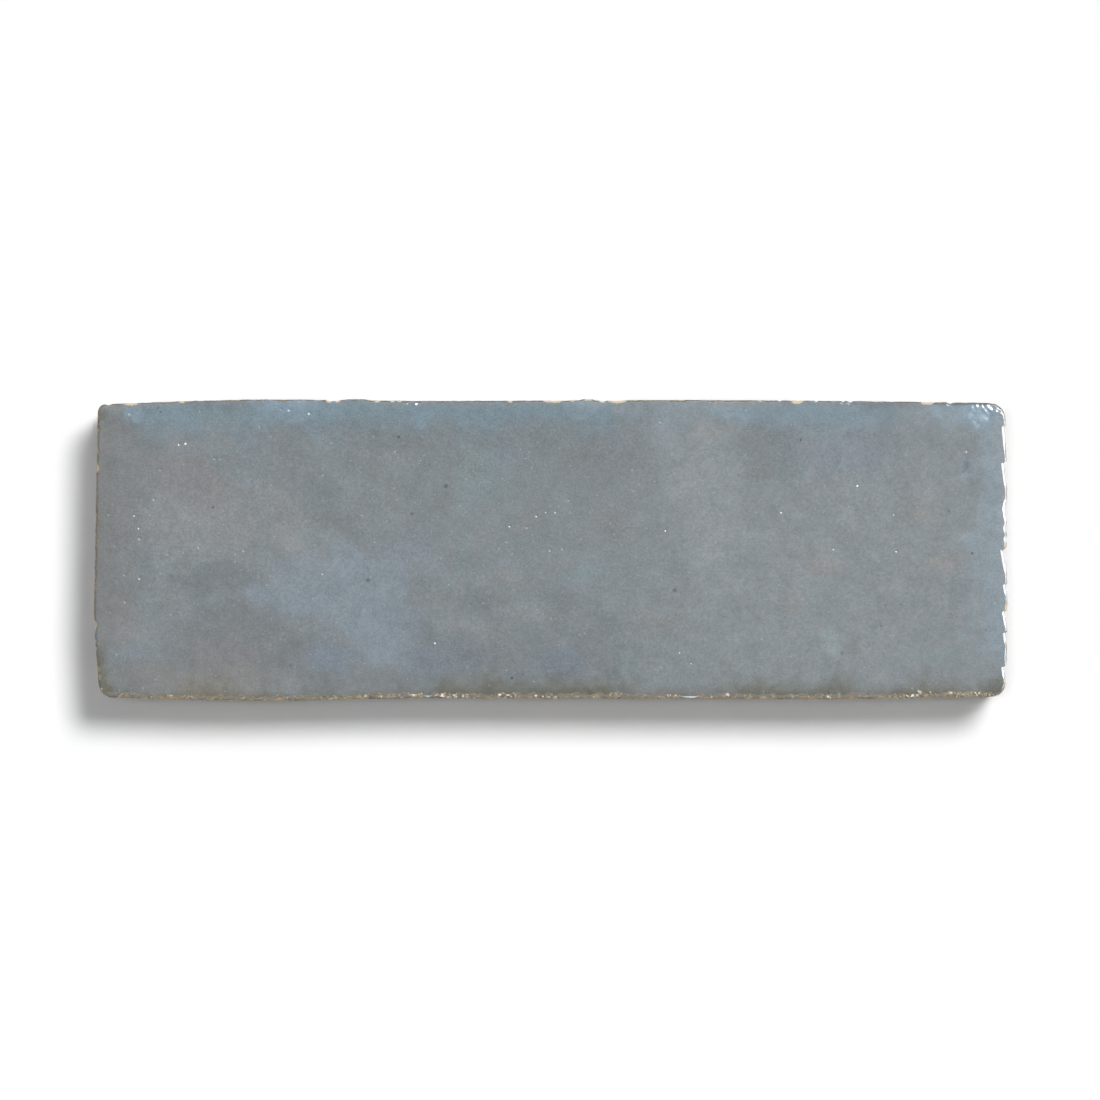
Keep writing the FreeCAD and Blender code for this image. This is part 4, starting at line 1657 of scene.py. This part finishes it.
        gloss = between(covered, (0.0, 1.0), self.thin_roughness, self.roughness)
        glossy = value("MULTIPLY", value("SUBTRACT", 1.0, bare), gloss)
        tree.links.new(value("MULTIPLY_ADD", bare, self.clay.roughness, glossy), shader.inputs["Roughness"])
        mirrored = between(bare, (0.0, 1.0), self.specular, self.clay.specular)
        tree.links.new(mirrored, shader.inputs["Specular IOR Level"])
        shader.inputs["IOR"].default_value = self.ior
        peel = add_node(tree, "ShaderNodeBump", {
            "Height": speckle(self.orange_peel, 2.0), "Distance": self.peel_height * MM,
            "Strength": 1.0}).outputs[0]
        sandy = add_node(tree, "ShaderNodeBump", {
            "Height": value("MULTIPLY", self.clay.grain_height(tree, spot), bare),
            "Distance": self.clay.relief * MM, "Strength": 1.0, "Normal": peel}).outputs[0]
        tree.links.new(sandy, shader.inputs["Normal"])
        return made


@dataclass
class GlazedTile:
    """The tile: one fired piece with its glaze.

    Attributes:
        node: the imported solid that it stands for.
        scattered: how many small clear pinholes are strewn over the face.
        scatter_seed: seed of their places.
        scatter_widths: least and greatest width of them.
        scatter_margin: least distance of them from the tile's box.
        scatter_lean: power that draws them to the left, where 1 spreads them evenly.
    """

    node: bpy.types.Object
    scattered: int = 60
    scatter_seed: int = 7
    scatter_widths: tuple[float, float] = (0.3, 0.5)
    scatter_margin: float = 2.0
    scatter_lean: float = 1.4

    def pinholes(self) -> list[Pinhole]:
        """Gathers the pinholes: those that stand out, then small ones, closer together on the left.

        Returns:
            All pinholes. The small ones touch no other.
        """
        random = np.random.default_rng(self.scatter_seed)
        low, high = (np.array(corner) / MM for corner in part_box(self.node.name))
        low, high = low + self.scatter_margin, high - self.scatter_margin
        holes = [*SPECKS, *CLEAR_PINHOLES]
        while len(holes) < len(SPECKS) + len(CLEAR_PINHOLES) + self.scattered:
            x = low[0] + random.random() ** self.scatter_lean * (high[0] - low[0])
            y = random.uniform(low[1], high[1])
            width = random.uniform(*self.scatter_widths)
            if all(math.hypot(x - hole.x, y - hole.y) > hole.width + width for hole in holes):
                holes.append(Pinhole(x, y, width))
        return holes

    def build(self) -> bpy.types.Object:
        """Builds, dresses and places the tile.

        Returns:
            The finished piece.
        """
        outline = TileOutline(self.node)
        holes = self.pinholes()
        clay = BiscuitClay()
        shell = TileShell(outline, holes).build()
        relief = FiredRelief(outline, self.node, FLAKES, holes)
        piece = relief.apply(shell, ColouredGlaze(clay).material(), clay.material(), "tile")
        GlazePainting(outline).paint(piece)
        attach(piece, "root")
        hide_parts(TILE_NODE)
        return piece


@dataclass(frozen=True)
class Sun:
    """A soft lamp so far away that its light comes from one direction.

    Attributes:
        name: name of the lamp.
        share: its strength, where 1 lights the table white.
        run: its direction, as run along and across for each rise of 1.
        spread: angle that it fills, in degrees.
        lights: whether it lights matt surfaces.
        shines: whether it shows in reflections.
    """

    name: str
    share: float
    run: tuple[float, float]
    spread: float
    lights: bool
    shines: bool


@dataclass(frozen=True)
class Card:
    """A bright card beside the table that only shows in reflections.

    Attributes:
        name: name of the card.
        heading: direction of the card, anticlockwise from +X, in degrees.
        tilt: angle of the card from straight up, in degrees.
        size: its width along the heading's circle and its height.
        radiance: how bright it is, where the white room is 1.
    """

    name: str
    heading: float
    tilt: float
    size: tuple[float, float]
    radiance: float


@dataclass
class Studio:
    """White table, soft light and a camera straight above the tile.

    Attributes:
        face_height: height of the tile's face.
        frame_width: width of what the camera shows at that height.
        aim: the point that the camera looks down on.
        lens: focal length of the camera.
        sensor: width of its sensor.
        floor_size: width of the table.
        floor_colour: colour of the table.
        lamp_distance: distance of the lamps and cards.
        suns: the key lamp, its reflection in the glaze and the weak fill across from it.
        shine_bounces: bounces of light after which a reflection no longer counts, so that the cards
            and the key's reflection throw no light from the glaze onto the table.
        ambient: share of the light that comes from all round.
        ambient_colour: colour of that light, cool enough to cancel the clay's warmth in the shadow.
        cards: bright cards that show in the glaze.
    """

    face_height: float
    frame_width: float = 181.7
    aim: tuple[float, float] = (-0.12, 0.04)
    lens: float = 300.0
    sensor: float = 36.0
    floor_size: float = 6000.0
    floor_colour: str = "#ffffff"
    lamp_distance: float = 800.0
    suns: Sequence[Sun] = (
        Sun("key", 0.69, (0.42, 0.5), 22.0, lights=True, shines=False),
        Sun("key_shine", 1.05, (0.4, 0.485), 23.0, lights=False, shines=True),
        Sun("fill", 0.19, (-0.15, 0.0), 14.0, lights=True, shines=False),
    )
    shine_bounces: int = 0
    ambient: float = 0.14
    ambient_colour: str = "#f8fbff"
    cards: Sequence[Card] = (
        Card("right_card", 0.0, 58.0, (800.0, 560.0), 18.0),
        Card("front_card", -90.0, 60.0, (700.0, 160.0), 12.0),
    )

    def floor(self) -> bpy.types.Object:
        """Lays the white table under the tile.

        Returns:
            The table.
        """
        half = self.floor_size * MM / 2
        mesh = bpy.data.meshes.new("table")
        corners = [(-half, -half, 0), (half, -half, 0), (half, half, 0), (-half, half, 0)]
        mesh.from_pydata(corners, [], [(0, 1, 2, 3)])
        # Matt white card, without any gloss: it shows nothing but the tile's shadow.
        matt = bpy.data.materials.new("matt_white_table")
        matt.use_nodes = True
        shader = matt.node_tree.nodes["Principled BSDF"]
        shader.inputs["Base Color"].default_value = paint(self.floor_colour)
        shader.inputs["Roughness"].default_value = 1.0
        shader.inputs["Specular IOR Level"].default_value = 0.0
        mesh.materials.append(matt)
        table = bpy.data.objects.new("table", mesh)
        bpy.context.scene.collection.objects.link(table)
        return table

    def lamp(self, name: str, kind: str, direction: Vector) -> bpy.types.Object:
        """Hangs a lamp that points at the middle of the tile.

        Args:
            name: name of the lamp.
            kind: type of the lamp.
            direction: direction from the tile to the lamp.

        Returns:
            The lamp.
        """
        made = bpy.data.objects.new(name, bpy.data.lights.new(name, kind))
        made.location = direction.normalized() * self.lamp_distance * MM
        made.rotation_euler = direction.to_track_quat("Z", "Y").to_euler()
        bpy.context.scene.collection.objects.link(made)
        return made

    def lights(self) -> None:
        """Sets the soft lamps, the bright cards and the light from all round."""
        for sun in self.suns:
            towards = Vector((*sun.run, 1))
            hung = self.lamp(sun.name, "SUN", towards)
            hung.data.angle = math.radians(sun.spread)
            hung.data.energy = sun.share * math.pi / towards.normalized().z
            hung.visible_diffuse, hung.visible_glossy = sun.lights, sun.shines
            if sun.shines:
                hung.data.cycles.max_bounces = self.shine_bounces
        for card in self.cards:
            heading, tilt = math.radians(card.heading), math.radians(card.tilt)
            across = math.sin(tilt)
            hung = self.lamp(card.name, "AREA", Vector((
                across * math.cos(heading), across * math.sin(heading), math.cos(tilt))))
            hung.data.shape = "RECTANGLE"
            hung.data.size, hung.data.size_y = (length * MM for length in card.size)
            hung.data.energy = card.radiance * math.pi * hung.data.size * hung.data.size_y
            hung.visible_diffuse = False
            hung.data.cycles.max_bounces = self.shine_bounces
        world = bpy.data.worlds.new("white_room")
        bpy.context.scene.world = world
        world.use_nodes = True
        tree = world.node_tree
        path = add_node(tree, "ShaderNodeLightPath").outputs
        seen = add_node(tree, "ShaderNodeMath", {0: path["Is Camera Ray"], 1: path["Is Glossy Ray"]},
                        operation="MAXIMUM").outputs[0]
        seen = add_node(tree, "ShaderNodeMath", {0: seen, 1: path["Is Transmission Ray"]},
                        operation="MAXIMUM").outputs[0]
        strength = add_node(tree, "ShaderNodeMapRange", {
            "Value": seen, "To Min": self.ambient, "To Max": 1.0}).outputs[0]
        background = tree.nodes["Background"]
        background.inputs["Color"].default_value = paint(self.ambient_colour)
        tree.links.new(strength, background.inputs["Strength"])

    def camera(self) -> None:
        """Sets the camera straight above the tile."""
        data = bpy.data.cameras.new("camera")
        data.lens, data.sensor_width = self.lens, self.sensor
        made = bpy.data.objects.new("camera", data)
        distance = self.frame_width * self.lens / self.sensor
        made.location = (self.aim[0] * MM, self.aim[1] * MM, (self.face_height + distance) * MM)
        bpy.context.scene.collection.objects.link(made)
        bpy.context.scene.camera = made

    def build(self) -> None:
        """Sets the whole studio."""
        self.floor()
        self.lights()
        self.camera()
        bpy.context.scene.view_settings.view_transform = "Standard"


def main() -> None:
    """Builds the tile and the studio."""
    logging.basicConfig(level=logging.INFO, format="%(name)s: %(message)s")
    tile = GlazedTile(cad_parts[TILE_NODE]).build()
    LOG.info("%s has %d triangles", tile.name, sum(len(face.vertices) - 2 for face in tile.data.polygons))
    Studio(face_height=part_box(TILE_NODE)[1].z / MM).build()


if __name__ == "__main__":
    main()
